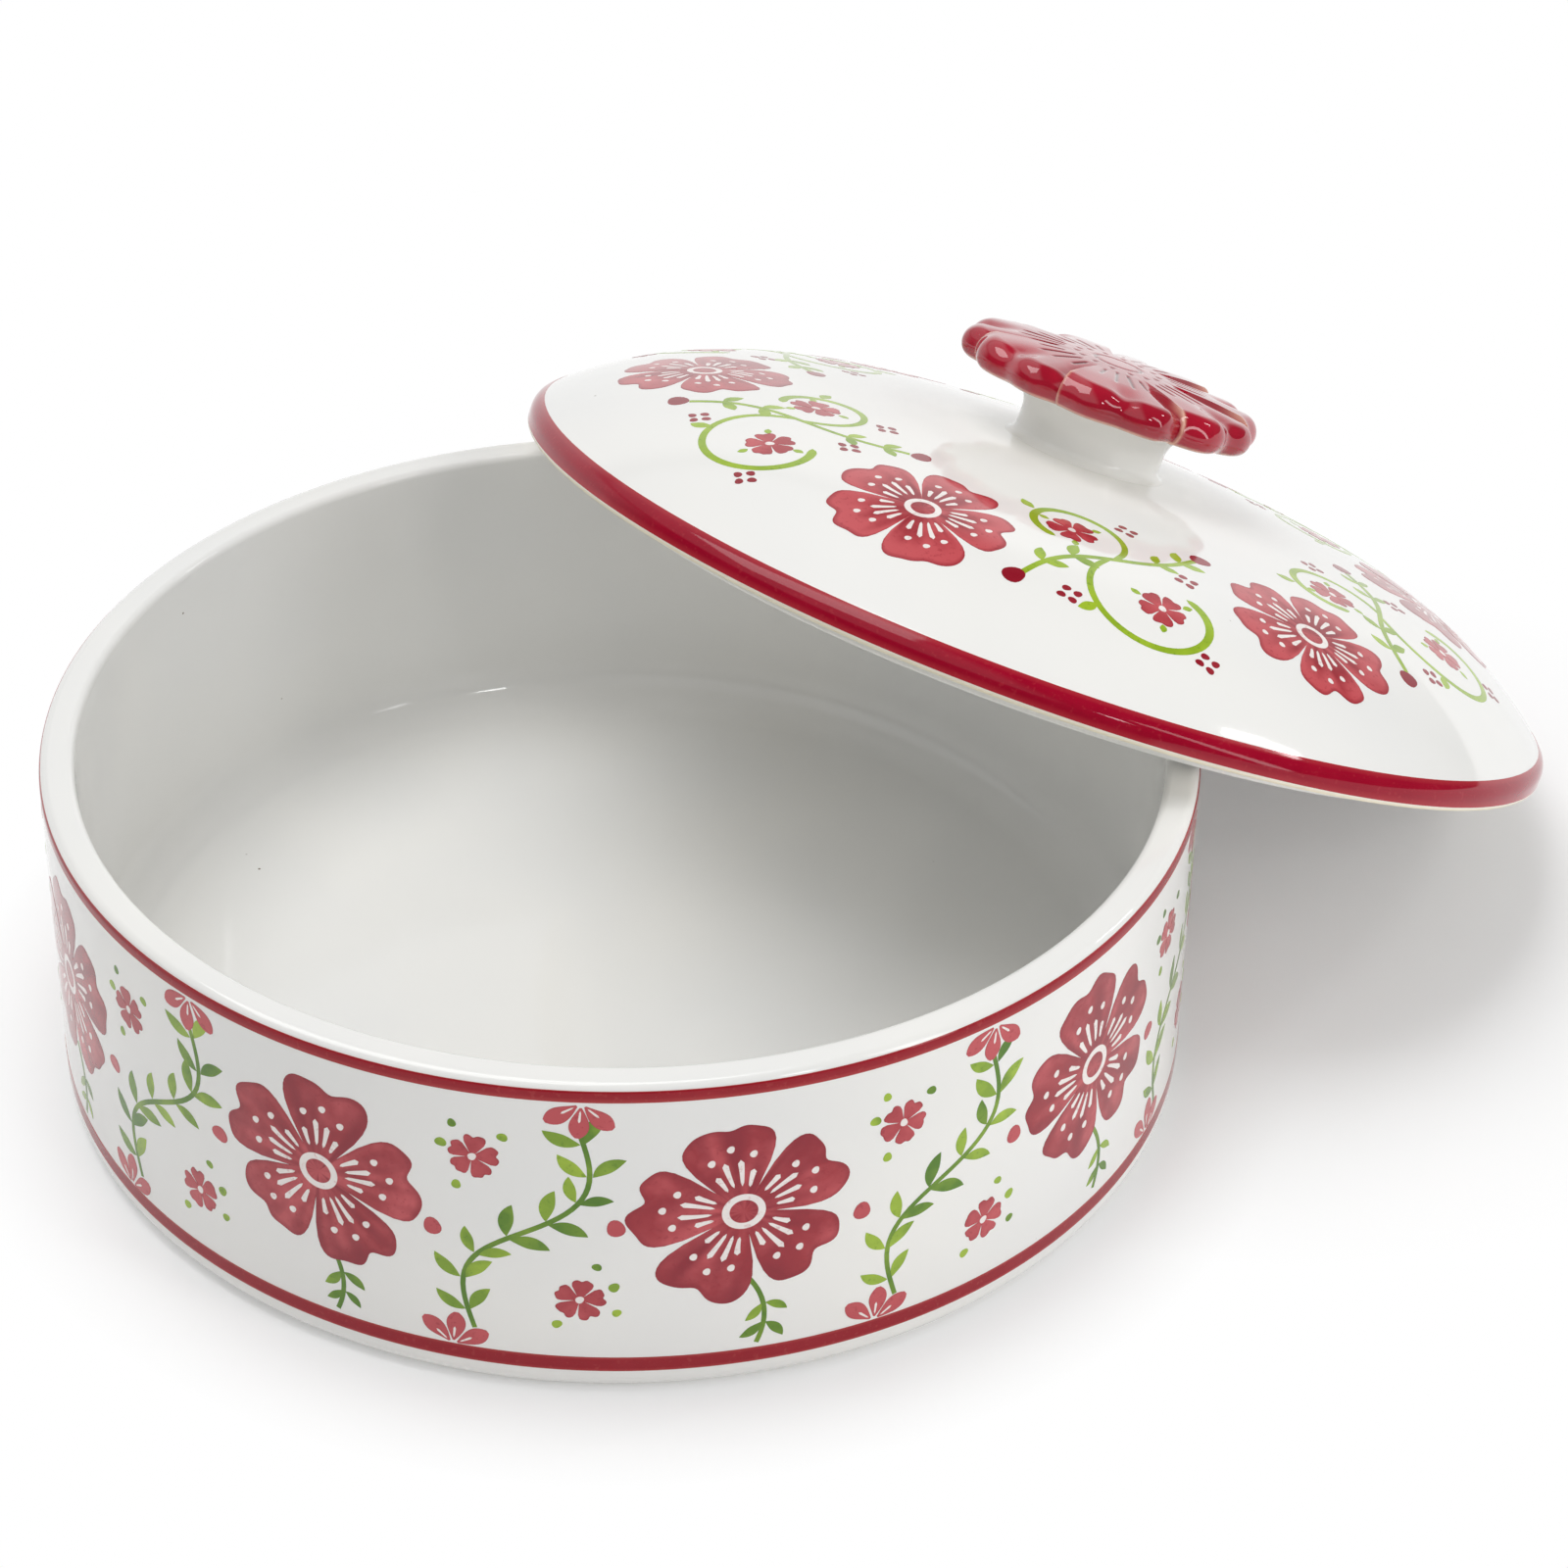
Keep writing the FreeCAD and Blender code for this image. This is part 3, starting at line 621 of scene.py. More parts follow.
def bloom(red, white, place, reach, chance, watery=0.0):
    """A large five-petalled flower with light veins, dots and a ringed eye, watery at its edge."""
    offset = chance.uniform(0, 100)
    tones = [chance.uniform(0.15, 0.45) + 0.3 * watery for _ in range(BLOOM_PETALS)]

    def brush(angle, share):
        petal = math.floor(angle * BLOOM_PETALS / (2 * math.pi) + 0.5) % BLOOM_PETALS
        streak = noise.noise(Vector((*polar(5, angle, offset), share * 1.5)))
        wash = watery * (smooth(0.45, 0.95, share) - 0.35)
        return min(1.0, max(0.0, tones[petal] + wash + 0.45 * streak))

    red.blot(place, bloom_outline(reach, chance), 12, 180, brush=brush)
    eye = 0.16 * reach
    ring = curl((0, 0), eye, eye, 0, 360)
    white.stroke(place, ring, lambda share: 0.034 * reach, steps=36, lanes=2)
    for petal in range(BLOOM_PETALS):
        middle = petal * 360 / BLOOM_PETALS + chance.uniform(-2, 2)
        for turn in (-21, -7, 7, 21):
            angle = math.radians(middle + turn + chance.uniform(-1.0, 1.0))
            inner = reach * chance.uniform(0.26, 0.29)
            outer = reach * (0.57 if abs(turn) < 10 else 0.47) * chance.uniform(0.94, 1.05)
            path = line(polar(inner, angle), polar(outer, angle), chance.uniform(-0.03, 0.03))
            white.stroke(place, path, tapering(0.013 * reach, 0.031 * reach), steps=8, lanes=2)
        for turn in (-17, 0, 17):
            far = reach * (0.71 if turn == 0 else 0.63)
            white.dot(place, *polar(far, math.radians(middle + turn)), 0.037 * reach)


def blossom(red, white, place, reach, chance, tone):
    """A small five-petalled flower with a light eye."""
    red.blot(place, bloom_outline(reach, chance, gap=0.3), 5, 90, tone)
    white.dot(place, 0, 0, 0.17 * reach)


def fan(red, white, place, reach, chance, tone):
    """Half a blossom, opening upwards from the place's centre."""
    def petal_width(share):
        swell = math.sin(math.pi * min(1, share * 0.93 + 0.04)) ** 0.75
        return reach * 0.27 * swell * (0.45 + 0.75 * share)

    for turn in (-52, 0, 52):
        angle = math.radians(90 + turn)
        petal = line(polar(0.12 * reach, angle), polar(reach, angle), chance.uniform(-0.05, 0.05))
        red.stroke(place, petal, petal_width, steps=12, lanes=6, tone=tone)
        vein = line(polar(0.2 * reach, angle), polar(0.55 * reach, angle))
        white.stroke(place, vein, tapering(0.02 * reach, 0.035 * reach), steps=6, lanes=2)


def leaf(green, place, x, y, angle, length, width, tone):
    """An almond-shaped leaf that starts at a point."""
    def leaf_width(share):
        return width * max(0.0, math.sin(math.pi * share)) ** 0.85

    path = line((x, y), polar(length, math.radians(angle), x, y), 0.08)
    green.stroke(place, path, leaf_width, steps=12, lanes=6, tone=tone)


def wave(start, end, swing):
    """A path from start to end that swings to one side and then to the other."""
    straight = line(start, end)
    span_x, span_y = end[0] - start[0], end[1] - start[1]
    length = math.hypot(span_x, span_y)

    def path(share):
        x, y = straight(share)
        out = swing * math.sin(2 * math.pi * share) / length
        return x - span_y * out, y + span_x * out

    return path


def curl(middle, first, last, start, sweep):
    """A path that winds round a middle, from one radius to another. Angles are in degrees."""
    def path(share):
        angle = math.radians(start + sweep * share)
        return polar(first + (last - first) * share, angle, *middle)

    return path


def heading(path, share):
    """The direction of a path at a share of its length, in degrees."""
    ahead, behind = path(min(1, share + 0.02)), path(max(0, share - 0.02))
    return math.degrees(math.atan2(ahead[1] - behind[1], ahead[0] - behind[0]))


def leaves(green, place, path, chance, shares, length, plump, tones, clear=0.8):
    """Leaves on both sides of a stem at some shares of its length."""
    for share in shares:
        x, y = path(share)
        size = length * chance.uniform(0.85, 1.1)
        for side in (-1, 1):
            angle = heading(path, share) + side * chance.uniform(40, 54)
            start = polar(clear, math.radians(angle), x, y)
            leaf(green, place, *start, angle, size, size * plump, chance.uniform(*tones))


def paint_gap(red, green, white, azimuth, chance):
    """The space between two blooms on the dish: a leafy S, blossoms, half-blossoms and berries."""
    def stem_width(share):
        return 0.62 - 0.15 * abs(share - 0.5)

    place = on_dish(azimuth, SPRIG_LEVEL)
    stem = wave((-11, -29), (11.5, 27), 7.5)
    green.stroke(place, stem, stem_width, steps=36, lanes=2, tone=0.2)
    shares = [0.06 + 0.126 * step for step in range(8)]
    leaves(green, place, stem, chance, shares, 8.0, 0.19, (0.1, 0.75))
    for aside, level, turn in ((-7, 9.9, -6), (5.4, 78.2, 174)):
        fan(red, white, on_dish(azimuth + aside, level, turn), 9.0, chance, 0.85)
    for aside, level in ((-4.6, 62), (5.0, 26)):
        spot = on_dish(azimuth + aside, level, chance.uniform(0, 70))
        blossom(red, white, spot, 5.6, chance, 0.55)
    for x, y in ((-19.5, -3), (19, 1)):
        red.dot(place, x, y, 2.1, 0.8, seed=azimuth)
    for x, y, radius in (
        (-17, 20, 1.2), (-14.5, 25.5, 1.0), (-4, 23.5, 1.1), (-14, 9.5, 1.1),
        (18.5, -15, 1.2), (19, -22, 1.0), (6.5, -25.5, 1.1), (15, -9.5, 1.0),
    ):
        green.dot(place, x, y, radius, chance.uniform(0.1, 0.9), seed=x)


def paint_dish():
    """Nine blooms round the wall, with a leafy space between each two."""
    red, green, white = Paint(PAINT_TOP), Paint(LEAF_TOP), Paint(MARK_TOP)
    spacing = 360 / FLOWERS_ON_DISH
    for number in range(FLOWERS_ON_DISH):
        chance = random.Random(DISH_SEED + number)
        azimuth = FIRST_ON_DISH + spacing * number
        level = BLOOM_LEVEL + chance.uniform(-1.5, 1.5)
        stalk = on_dish(azimuth, level)
        stem = line((1.0, -18), (3.0, -36.5), 0.14)
        green.stroke(stalk, stem, lambda share: 0.55, steps=14, lanes=2, tone=0.2)
        leaves(green, stalk, stem, chance, (0.42, 0.7), 5.6, 0.2, (0.1, 0.8), clear=0.6)
        spot = on_dish(azimuth, level, chance.uniform(6, 30))
        bloom(red, white, spot, DISH_BLOOM_RADIUS, chance)
        paint_gap(red, green, white, azimuth + spacing / 2, chance)
    red.piece("dish_red_paint", UPRIGHT, "dish", "red_glaze")
    green.piece("dish_green_paint", UPRIGHT, "dish", "white_glaze")
    white.piece("dish_white_paint", UPRIGHT, "dish", "white_glaze")


def paint_vine(red, green, white, azimuth, chance):
    """The space between two blooms on the lid: a stem with two curls, blossoms and berries."""
    place = on_lid(azimuth, VINE_ALONG)
    stem = wave((-25, -9), (19, 25), 2.5)
    green.stroke(place, stem, lambda share: 0.75, steps=36, lanes=2, tone=0.7)
    leaves(green, place, stem, chance, (0.13, 0.3, 0.72, 0.88), 5.8, 0.25, (0.55, 1.0))
    # Each curl starts on the stem and winds round a blossom.
    root = stem(0.5)
    for middle, last in (((-12, 18.5), 8.0), ((8.5, -7.5), 10.0)):
        turn = math.degrees(math.atan2(root[1] - middle[1], root[0] - middle[0]))
        winding = curl(middle, math.dist(root, middle), last, turn, 285)
        green.stroke(place, winding, tapering(0.75, 1.15), steps=44, lanes=2, tone=0.75)
        blossom(red, white, beside(azimuth, *middle, chance), 6.2, chance, 0.5)
        for angle in (30, 150, 270):
            start = polar(6.0, math.radians(angle), *middle)
            leaf(green, place, *start, angle, 2.8, 0.9, 0.8)
    leaf(green, place, -7.5, -13.5, 215, 5.5, 1.5, 0.9)
    leaf(green, place, -20.5, 26.0, 120, 5.0, 1.4, 0.8)
    red.dot(place, -27.2, -10.8, 2.8, 0.05, seed=azimuth)
    red.dot(place, 20.8, 27.2, 2.6, 0.05, seed=azimuth + 1)
    for middle in ((-14, -13), (15.5, 10), (2.5, 29.5), (20, -21)):
        for number in range(4):
            spot = polar(2.1, math.radians(90 * number + 20), *middle)
            red.dot(place, *spot, 1.05, 0.1, seed=number)


def beside(azimuth, x, y, chance):
    """A brush place beside a vine's middle, turned by chance."""
    turn = math.degrees(math.atan2(x, VINE_ALONG - y))
    return on_lid(azimuth + turn, math.hypot(x, VINE_ALONG - y), chance.uniform(0, 70))


def paint_lid():
    """Six blooms on the dome, with a curling vine between each two."""
    red, green, white = Paint(PAINT_TOP), Paint(LEAF_TOP), Paint(MARK_TOP)
    spacing = 360 / FLOWERS_ON_LID
    for number in range(FLOWERS_ON_LID):
        chance = random.Random(LID_SEED + number)
        azimuth = FIRST_ON_LID + spacing * number
        spot = on_lid(azimuth, BLOOM_ALONG, chance.uniform(0, 70))
        bloom(red, white, spot, LID_BLOOM_RADIUS, chance, LID_WASH[number])
        paint_vine(red, green, white, azimuth + spacing / 2, chance)
    red.piece("lid_red_paint", LID_PLACE, "lid", "red_glaze")
    green.piece("lid_green_paint", LID_PLACE, "lid", "white_glaze")
    white.piece("lid_white_paint", LID_PLACE, "lid", "white_glaze")


# The bottom line lies round the foot of the wall, between these levels.
LINE_LOW_FROM, LINE_LOW_TO, LINE_LOW_STEPS = 6.3, 10.1, 8
# The top line runs from the wall on to the rim's outer round, up to this angle.
LINE_TOP_FROM, LINE_TOP_TURN = 78.5, 29
# The band starts above the lip and ends a little way over the dome.
BAND_FROM = 1.3
BAND_OVER = 1.3


def low_line(lift):
    """Section of the dish's bottom line, at a lift off the ware."""
    reach, height = DISH_RADIUS - INSET + lift, LINE_LOW_TO - LINE_LOW_FROM
    levels = [height * step / LINE_LOW_STEPS for step in range(LINE_LOW_STEPS + 1)]
    return [(reach, LINE_LOW_FROM + level) for level in levels]


def rim_line(lift):
    """Section of the dish's top line."""
    center = (DISH_RADIUS - RIM_OUTER_ROUND, DISH_HEIGHT - RIM_OUTER_ROUND)
    reach, height = DISH_RADIUS - INSET + lift, center[1] - LINE_TOP_FROM
    side = [(reach, LINE_TOP_FROM + height * step / 3) for step in range(3)]
    return side + arc(center, RIM_OUTER_ROUND - INSET + lift, 0, LINE_TOP_TURN, 8)


def band_line(lift):
    """Section of the band on the lid's edge."""
    reach, height = LID_RADIUS - INSET + lift, EDGE_HEIGHT - BAND_FROM
    side = [(reach, BAND_FROM + height * step / 4) for step in range(4)]
    brow = arc(EDGE_CENTER, EDGE_ROUND - INSET + lift, 0, 90 - math.degrees(SHOULDER_TURN), 10)
    over = [dome(DOME_LENGTH - BAND_OVER * step / 3, lift) for step in range(1, 4)]
    return side + brow + over


def paint_line(name, section_line, place, body):
    """A red line all round, as a closed thin skin over its section."""
    outside, inside = section_line(PAINT_TOP), section_line(PAINT_UNDER)
    section = outside + inside[::-1]
    points, faces = revolve(section + section[:1])
    count = len(section) * ROUND_STEPS
    faces = [tuple(corner % count for corner in face) for face in faces]
    steps = len(outside) - 1
    across = [abs(2 * step / steps - 1) for step in range(steps + 1)]
    edge = [share for share in across + across[::-1] for _ in range(ROUND_STEPS)]
    make_piece(
        name, points[:count], faces, place, body,
        {"edge": edge, "tone": [0.5] * count}, sharp=math.radians(35),
    )


paint_dish()
paint_lid()
paint_line("dish_line_bottom", low_line, UPRIGHT, "dish")
paint_line("dish_line_top", rim_line, UPRIGHT, "dish")
paint_line("lid_band", band_line, LID_PLACE, "lid")


# ---- materials ----
GLAZE_IOR = 1.5
GLAZE_ROUGHNESS = 0.07
KNOB_ROUGHNESS = 0.05
CLAY_ROUGHNESS = 0.55


def new_material(name):
    """A material with its node tree and its main shader."""
    material = bpy.data.materials.new(name)
    material.use_nodes = True
    return material, material.node_tree, material.node_tree.nodes["Principled BSDF"]


def feed(tree, socket, value):
    """Give a socket a fixed value or another node's output."""
    if isinstance(value, bpy.types.NodeSocket):
        tree.links.new(value, socket)
    else:
        socket.default_value = value


def attribute(tree, name):
    """A value that the mesh carries."""
    node = tree.nodes.new("ShaderNodeAttribute")
    node.attribute_name = name
    return node.outputs["Fac"]


def object_place(tree):
    """A point's place in its object's own space, in metres."""
    return tree.nodes.new("ShaderNodeTexCoord").outputs["Object"]


def cloud(tree, scale, detail=2.0):
    """Soft noise over the piece, scale in cycles a metre."""
    node = tree.nodes.new("ShaderNodeTexNoise")
    tree.links.new(object_place(tree), node.inputs["Vector"])
    node.inputs["Scale"].default_value = scale
    node.inputs["Detail"].default_value = detail
    return node.outputs["Fac"]


def specks(tree, scale, size):
    """1 in small round specks, one to a cell, scale in cells a metre."""
    node = tree.nodes.new("ShaderNodeTexVoronoi")
    tree.links.new(object_place(tree), node.inputs["Vector"])
    node.inputs["Scale"].default_value = scale
    return span(tree, node.outputs["Distance"], size, size * 0.6, 0.0, 1.0)


def span(tree, value, low, high, out_low=0.0, out_high=1.0):
    """A value's range mapped to another, held at its ends."""
    node = tree.nodes.new("ShaderNodeMapRange")
    feed(tree, node.inputs["Value"], value)
    ends = {"From Min": low, "From Max": high, "To Min": out_low, "To Max": out_high}
    for title, number in ends.items():
        node.inputs[title].default_value = number
    return node.outputs["Result"]


def linear(red, green, blue):
    """A colour written as it shows, 0 to 255, for a shader's socket."""
    def channel(value):
        value /= 255
        return value / 12.92 if value <= 0.04045 else ((value + 0.055) / 1.055) ** 2.4

    return channel(red), channel(green), channel(blue), 1.0


def blend(tree, share, first, second):
    """One colour giving way to another, each another node's output or written as it shows."""
    node = tree.nodes.new("ShaderNodeMix")
    node.data_type = "RGBA"
    feed(tree, node.inputs[0], share)
    # The node's sockets for colours are inputs 6 and 7 and output 2.
    for index, color in ((6, first), (7, second)):
        feed(tree, node.inputs[index], linear(*color) if isinstance(color, tuple) else color)
    return node.outputs[2]


def calculate(tree, operation, first, second):
    """Two values put through a math node."""
    node = tree.nodes.new("ShaderNodeMath")
    node.operation = operation
    feed(tree, node.inputs[0], first)
    feed(tree, node.inputs[1], second)
    return node.outputs[0]


def times(tree, first, second):
    """Two values multiplied."""
    return calculate(tree, "MULTIPLY", first, second)


def plus(tree, first, second):
    """Two values added."""
    return calculate(tree, "ADD", first, second)


def larger(tree, first, second):
    """The larger of two values."""
    return calculate(tree, "MAXIMUM", first, second)


def bump(tree, shader, height, strength, distance):
    """Raise or sink the surface a little for light."""
    node = tree.nodes.new("ShaderNodeBump")
    node.inputs["Strength"].default_value = strength
    node.inputs["Distance"].default_value = distance
    tree.links.new(height, node.inputs["Height"])
    tree.links.new(node.outputs["Normal"], shader.inputs["Normal"])


def uneven(tree, shader):
    """The soft unevenness of the clear glaze, over white ware and paint alike."""
    bump(tree, shader, cloud(tree, 26, 1), 0.4, 0.0012)


def white_glaze():
    """Glossy white glaze, slightly uneven, with rare specks, and bare clay where it was wiped."""
    material, tree, shader = new_material("white_glaze")
    shade = span(tree, cloud(tree, 14), 0.3, 0.7)
    body = blend(tree, shade, (242, 241, 237), (236, 236, 234))
    speck = times(tree, specks(tree, 90, 0.035), span(tree, cloud(tree, 30), 0.6, 0.66))
    body = blend(tree, speck, body, (120, 108, 92))
    bare = attribute(tree, "bare")
    clay = blend(tree, cloud(tree, 300, 4), (236, 224, 196), (246, 238, 218))
    feed(tree, shader.inputs["Base Color"], blend(tree, bare, body, clay))
    roughness = span(tree, bare, 0.0, 1.0, GLAZE_ROUGHNESS, CLAY_ROUGHNESS)
    feed(tree, shader.inputs["Roughness"], roughness)
    shader.inputs["IOR"].default_value = GLAZE_IOR
    uneven(tree, shader)
    return material


def paint(name, body, wash, pool, rim_from, rim_share, sheen=0.5):
    """Paint under the glaze: its body colour, and others where it is watery and where it pooled."""
    material, tree, shader = new_material(name)
    water = span(tree, cloud(tree, 110, 3), 0.42, 0.72)
    color = blend(tree, water, body, wash)
    tone = attribute(tree, "tone")
    color = blend(tree, span(tree, tone, 0.35, 1.0), color, wash)
    color = blend(tree, span(tree, tone, 0.4, 0.0), color, pool)
    rim = times(tree, span(tree, attribute(tree, "edge"), rim_from, 0.99), rim_share)
    color = blend(tree, rim, color, pool)
    fleck = times(tree, span(tree, cloud(tree, 900, 2), 0.6, 0.7), 0.35)
    color = blend(tree, fleck, color, pool)
    feed(tree, shader.inputs["Base Color"], color)
    shader.inputs["Roughness"].default_value = GLAZE_ROUGHNESS
    shader.inputs["IOR"].default_value = GLAZE_IOR
    shader.inputs["Specular IOR Level"].default_value = sheen
    uneven(tree, shader)
    return material


def red_glaze():
    """The knob's deep red glaze: darker in the marks, cream at its thin edges, white underneath."""
    material, tree, shader = new_material("red_glaze")
    shade = span(tree, cloud(tree, 60, 3), 0.35, 0.7)
    body = blend(tree, shade, (176, 14, 44), (152, 4, 34))
    body = blend(tree, attribute(tree, "mark"), body, (84, 2, 18))
    broken = span(tree, cloud(tree, 160, 2), 0.3, 0.6, 0.45, 1.0)
    thin = times(tree, attribute(tree, "thin"), broken)
    body = blend(tree, thin, body, (236, 190, 165))
    body = blend(tree, attribute(tree, "white"), body, (240, 238, 230))
    feed(tree, shader.inputs["Base Color"], body)
    shader.inputs["Roughness"].default_value = KNOB_ROUGHNESS
    shader.inputs["IOR"].default_value = GLAZE_IOR
    shader.inputs["Coat Weight"].default_value = 0.5
    shader.inputs["Coat Roughness"].default_value = 0.03
    bump(tree, shader, cloud(tree, 70, 1), 0.2, 0.0008)
    return material


# A paint has colours for its body, its watery parts and its pools. Then come where the pooled rim
# starts, how strong it is, and how much the paint reflects.
MATERIALS = {
    "glaze": white_glaze(),
    "knob": red_glaze(),
    "rose": paint("rose_paint", (158, 26, 40), (198, 80, 86), (140, 0, 30), 0.93, 0.6),
    "crimson": paint("crimson_paint", (150, 6, 28), (156, 18, 36), (176, 62, 60), 0.6, 0.8, 0.3),
    "band": paint("band_paint", (152, 0, 36), (158, 8, 40), (176, 50, 58), 0.6, 0.8, 0.3),
    "leaf": paint("leaf_paint", (96, 136, 4), (166, 194, 50), (62, 112, 0), 0.7, 0.0),
    "mark": paint("white_paint", (238, 230, 226), (244, 238, 234), (196, 120, 122), 0.9, 0.7),
}
DRESS = {
    "glaze": ("dish_shell", "lid_shell", "knob_neck_shell"),
    "knob": ("knob_flower_shell",),
    "rose": ("dish_red_paint", "lid_red_paint"),
    "leaf": ("dish_green_paint", "lid_green_paint"),
    "mark": ("dish_white_paint", "lid_white_paint"),
    "crimson": ("dish_line_bottom", "dish_line_top"),
    "band": ("lid_band",),
}
for material_name, piece_names in DRESS.items():
    for piece_name in piece_names:
        bpy.data.objects[piece_name].data.materials.append(MATERIALS[material_name])
# The solids stay out of sight, but carry the same materials.
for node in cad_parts.values():
    node.data.materials.clear()
    node.data.materials.append(MATERIALS["knob" if node.name == "knob_flower" else "glaze"])


# ---- camera ----
CAMERA_LENS = 96.47
CAMERA_SENSOR = 36.0
CAMERA_DISTANCE = 0.9643
CAMERA_TARGET = Vector((0, 0, 0.05))
CAMERA_AZIMUTH = math.radians(-132.73)
CAMERA_HEIGHT = math.radians(35.58)
# Small turns from facing the target, in radians.
CAMERA_PAN, CAMERA_TILT, CAMERA_ROLL = -0.0383, 0.0134, 0.0071


def place_camera():
    """The photograph's viewpoint, framed as the photograph is."""
    aim = Matrix.Rotation(CAMERA_AZIMUTH + math.pi / 2, 4, "Z")
    aim @= Matrix.Rotation(math.pi / 2 - CAMERA_HEIGHT, 4, "X")
    place = CAMERA_TARGET + CAMERA_DISTANCE * (aim @ Vector((0, 0, 1)))
    for turn, axis in ((CAMERA_PAN, "Y"), (CAMERA_TILT, "X"), (-CAMERA_ROLL, "Z")):
        aim @= Matrix.Rotation(turn, 4, axis)
    camera = bpy.data.objects.new("camera", bpy.data.cameras.new("camera"))
    camera.data.sensor_width = CAMERA_SENSOR
    camera.data.lens = CAMERA_LENS
    camera.data.clip_start = 0.01
    camera.matrix_world = Matrix.Translation(place) @ aim
    bpy.context.scene.collection.objects.link(camera)
    bpy.context.scene.camera = camera


place_camera()


# ---- light and floor ----
def softbox(name, place, target, width, height, power, mirrored=True):
    """A rectangular lamp that faces a point. Unmirrored, it lights without a highlight."""
    lamp = bpy.data.lights.new(name, "AREA")
    lamp.shape = "RECTANGLE"
    lamp.size = width
    lamp.size_y = height
    lamp.energy = power
    item = bpy.data.objects.new(name, lamp)
    item.location = place
    item.rotation_euler = (Vector(target) - Vector(place)).to_track_quat("-Z", "Y").to_euler()
    item.visible_glossy = mirrored
    bpy.context.scene.collection.objects.link(item)


# The key gives the shadow, the next three give highlights, and the last two soften the shadows.
softbox("key", (-0.1, 0.38, 1.45), (0.05, 0, 0.05), 1.0, 1.0, 10.9)
softbox("glint", (1.05, -0.48, 0.84), (0.1, -0.1, 0.09), 0.05, 0.26, 0.9)
softbox("front", (0.24, -1.22, 0.6), (0.12, -0.1, 0.08), 0.2, 1.15, 3.2)
softbox("window", (-0.2, -1.08, 0.87), (0.15, -0.02, 0.1), 0.11, 0.13, 0.7)
softbox("fill", (-0.8, -1.15, 0.5), (0.08, 0, 0.1), 0.5, 0.4, 0.8, mirrored=False)
softbox("side", (1.1, -1.0, 0.4), (0.1, 0, 0.08), 0.8, 0.6, 2.4, mirrored=False)

# How bright the room is as a light, and its dim parts and its bounce in a mirror.
AMBIENT = 0.43
CEILING = 0.12
BOUNCE = 0.8
# The white backdrop stands low behind the ware, and the bounce high at the back left. Each fades
# in over a range of a direction's height, and over a range of its run towards the azimuth.
BACKDROP_AZIMUTH = math.radians(65)
BACKDROP_HEIGHTS = (0.56, 0.36)
BACKDROP_SHARES = (0.4, 0.75)
BOUNCE_AZIMUTH = math.radians(135)
BOUNCE_HEIGHTS = (0.4, 0.52)
BOUNCE_SHARES = (-0.25, -0.05)


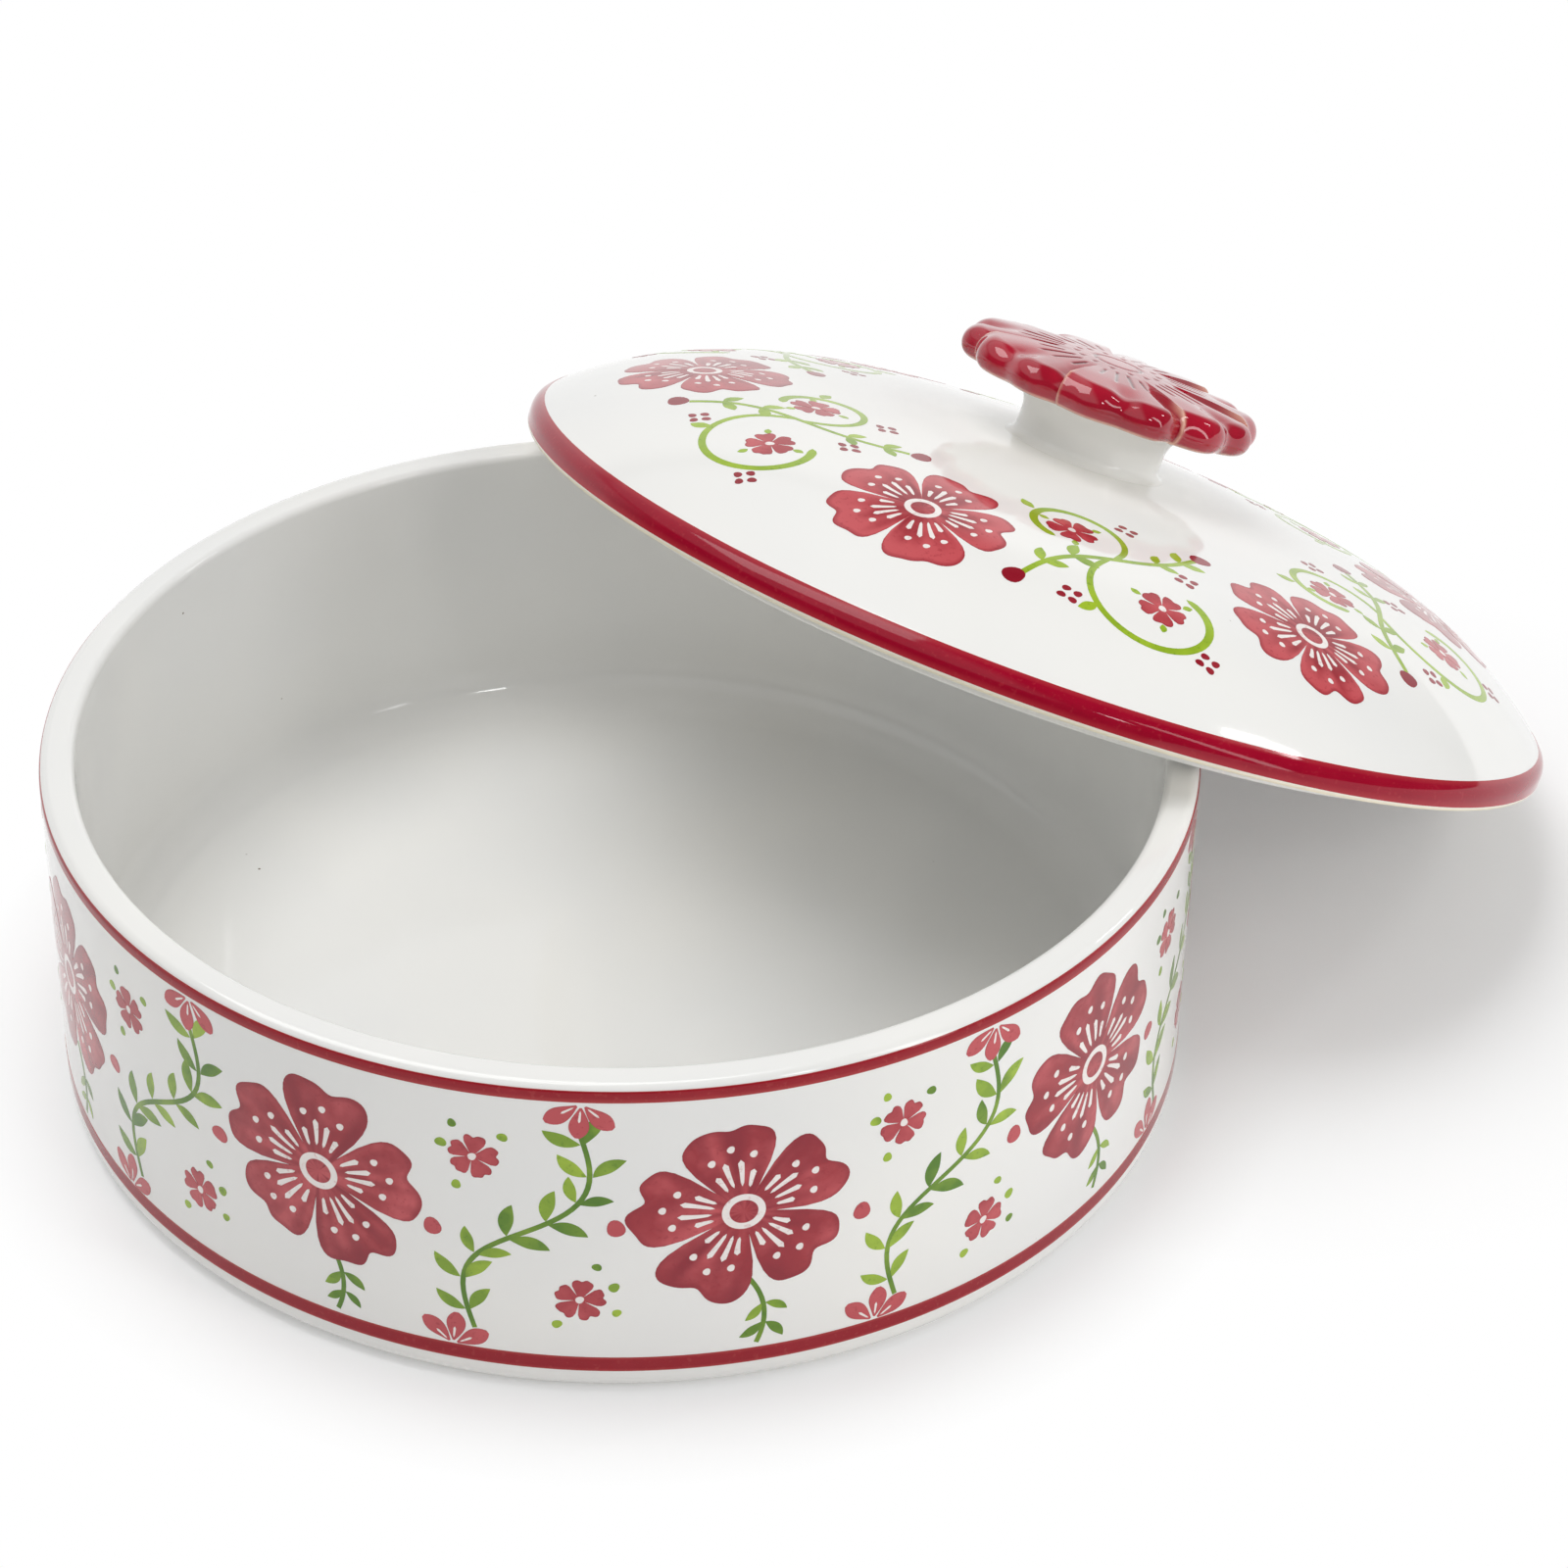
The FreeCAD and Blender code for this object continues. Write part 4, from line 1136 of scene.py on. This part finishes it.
def light_world():
    """Surroundings: white to the camera, and a dim room with two bright parts in a mirror."""
    world = bpy.data.worlds.new("surroundings")
    bpy.context.scene.world = world
    world.use_nodes = True
    tree = world.node_tree
    ground = tree.nodes["Background"]
    ground.inputs["Color"].default_value = (1, 1, 1, 1)
    rays = tree.nodes.new("ShaderNodeLightPath")
    glossy = rays.outputs["Is Glossy Ray"]
    place = tree.nodes.new("ShaderNodeTexCoord")
    axes = tree.nodes.new("ShaderNodeSeparateXYZ")
    tree.links.new(place.outputs["Generated"], axes.inputs[0])

    def bright_part(azimuth, heights, shares, brightness):
        """The room's mirrored brightness with one bright part."""
        level = span(tree, axes.outputs["Z"], *heights)
        east = times(tree, axes.outputs["X"], math.cos(azimuth))
        north = times(tree, axes.outputs["Y"], math.sin(azimuth))
        inside = times(tree, level, span(tree, plus(tree, east, north), *shares))
        return span(tree, inside, 0.0, 1.0, CEILING, brightness)

    backdrop = bright_part(BACKDROP_AZIMUTH, BACKDROP_HEIGHTS, BACKDROP_SHARES, 1.0)
    bounce = bright_part(BOUNCE_AZIMUTH, BOUNCE_HEIGHTS, BOUNCE_SHARES, BOUNCE)
    lighting = span(tree, glossy, 0.0, 1.0, AMBIENT, 0.0)
    lighting = plus(tree, lighting, times(tree, larger(tree, backdrop, bounce), glossy))
    lighting = plus(tree, lighting, times(tree, rays.outputs["Is Camera Ray"], 1.0 - AMBIENT))
    tree.links.new(lighting, ground.inputs["Strength"])


light_world()

FLOOR_HALF = 4.0
# The floor shows its shadow round the dish and round the lid's low edge: the middle of each place,
# where it starts to whiten and where it is all white, and how white it is before that.
SHADOWED = (
    ((0.0, 0.0, 0.0), 0.128, 0.158, 0.25),
    ((0.15, -0.06, 0.0), 0.075, 0.15, 0.1),
)


def apart(tree, middle):
    """The distance from a fixed spot."""
    node = tree.nodes.new("ShaderNodeVectorMath")
    node.operation = "DISTANCE"
    tree.links.new(object_place(tree), node.inputs[0])
    node.inputs[1].default_value = middle
    return node.outputs["Value"]


def seen_directly(tree):
    """1 for what the camera sees, also in a mirror or through glass, 0 for what only lights."""
    rays = tree.nodes.new("ShaderNodeLightPath")
    total = rays.outputs["Is Camera Ray"]
    for kind in ("Is Glossy Ray", "Is Transmission Ray"):
        total = larger(tree, total, rays.outputs[kind])
    return total


def lay_floor():
    """A plain pale floor that keeps the object's shadow and is white further off."""
    mesh = bpy.data.meshes.new("floor")
    near, far = -FLOOR_HALF, FLOOR_HALF
    corners = [(near, near, 0), (far, near, 0), (far, far, 0), (near, far, 0)]
    mesh.from_pydata(corners, [], [(0, 1, 2, 3)])
    floor = bpy.data.objects.new("floor", mesh)
    bpy.context.scene.collection.objects.link(floor)
    material, tree, shader = new_material("floor")
    shader.inputs["Base Color"].default_value = (0.95, 0.95, 0.95, 1)
    shader.inputs["Roughness"].default_value = 0.9
    glow = tree.nodes.new("ShaderNodeEmission")
    share = seen_directly(tree)
    for middle, inner, outer, least in SHADOWED:
        share = times(tree, share, span(tree, apart(tree, middle), inner, outer, least, 1.0))
    mixer = tree.nodes.new("ShaderNodeMixShader")
    tree.links.new(share, mixer.inputs[0])
    tree.links.new(shader.outputs[0], mixer.inputs[1])
    tree.links.new(glow.outputs[0], mixer.inputs[2])
    tree.links.new(mixer.outputs[0], tree.nodes["Material Output"].inputs["Surface"])
    mesh.materials.append(material)


lay_floor()

bpy.context.scene.view_settings.view_transform = "Standard"
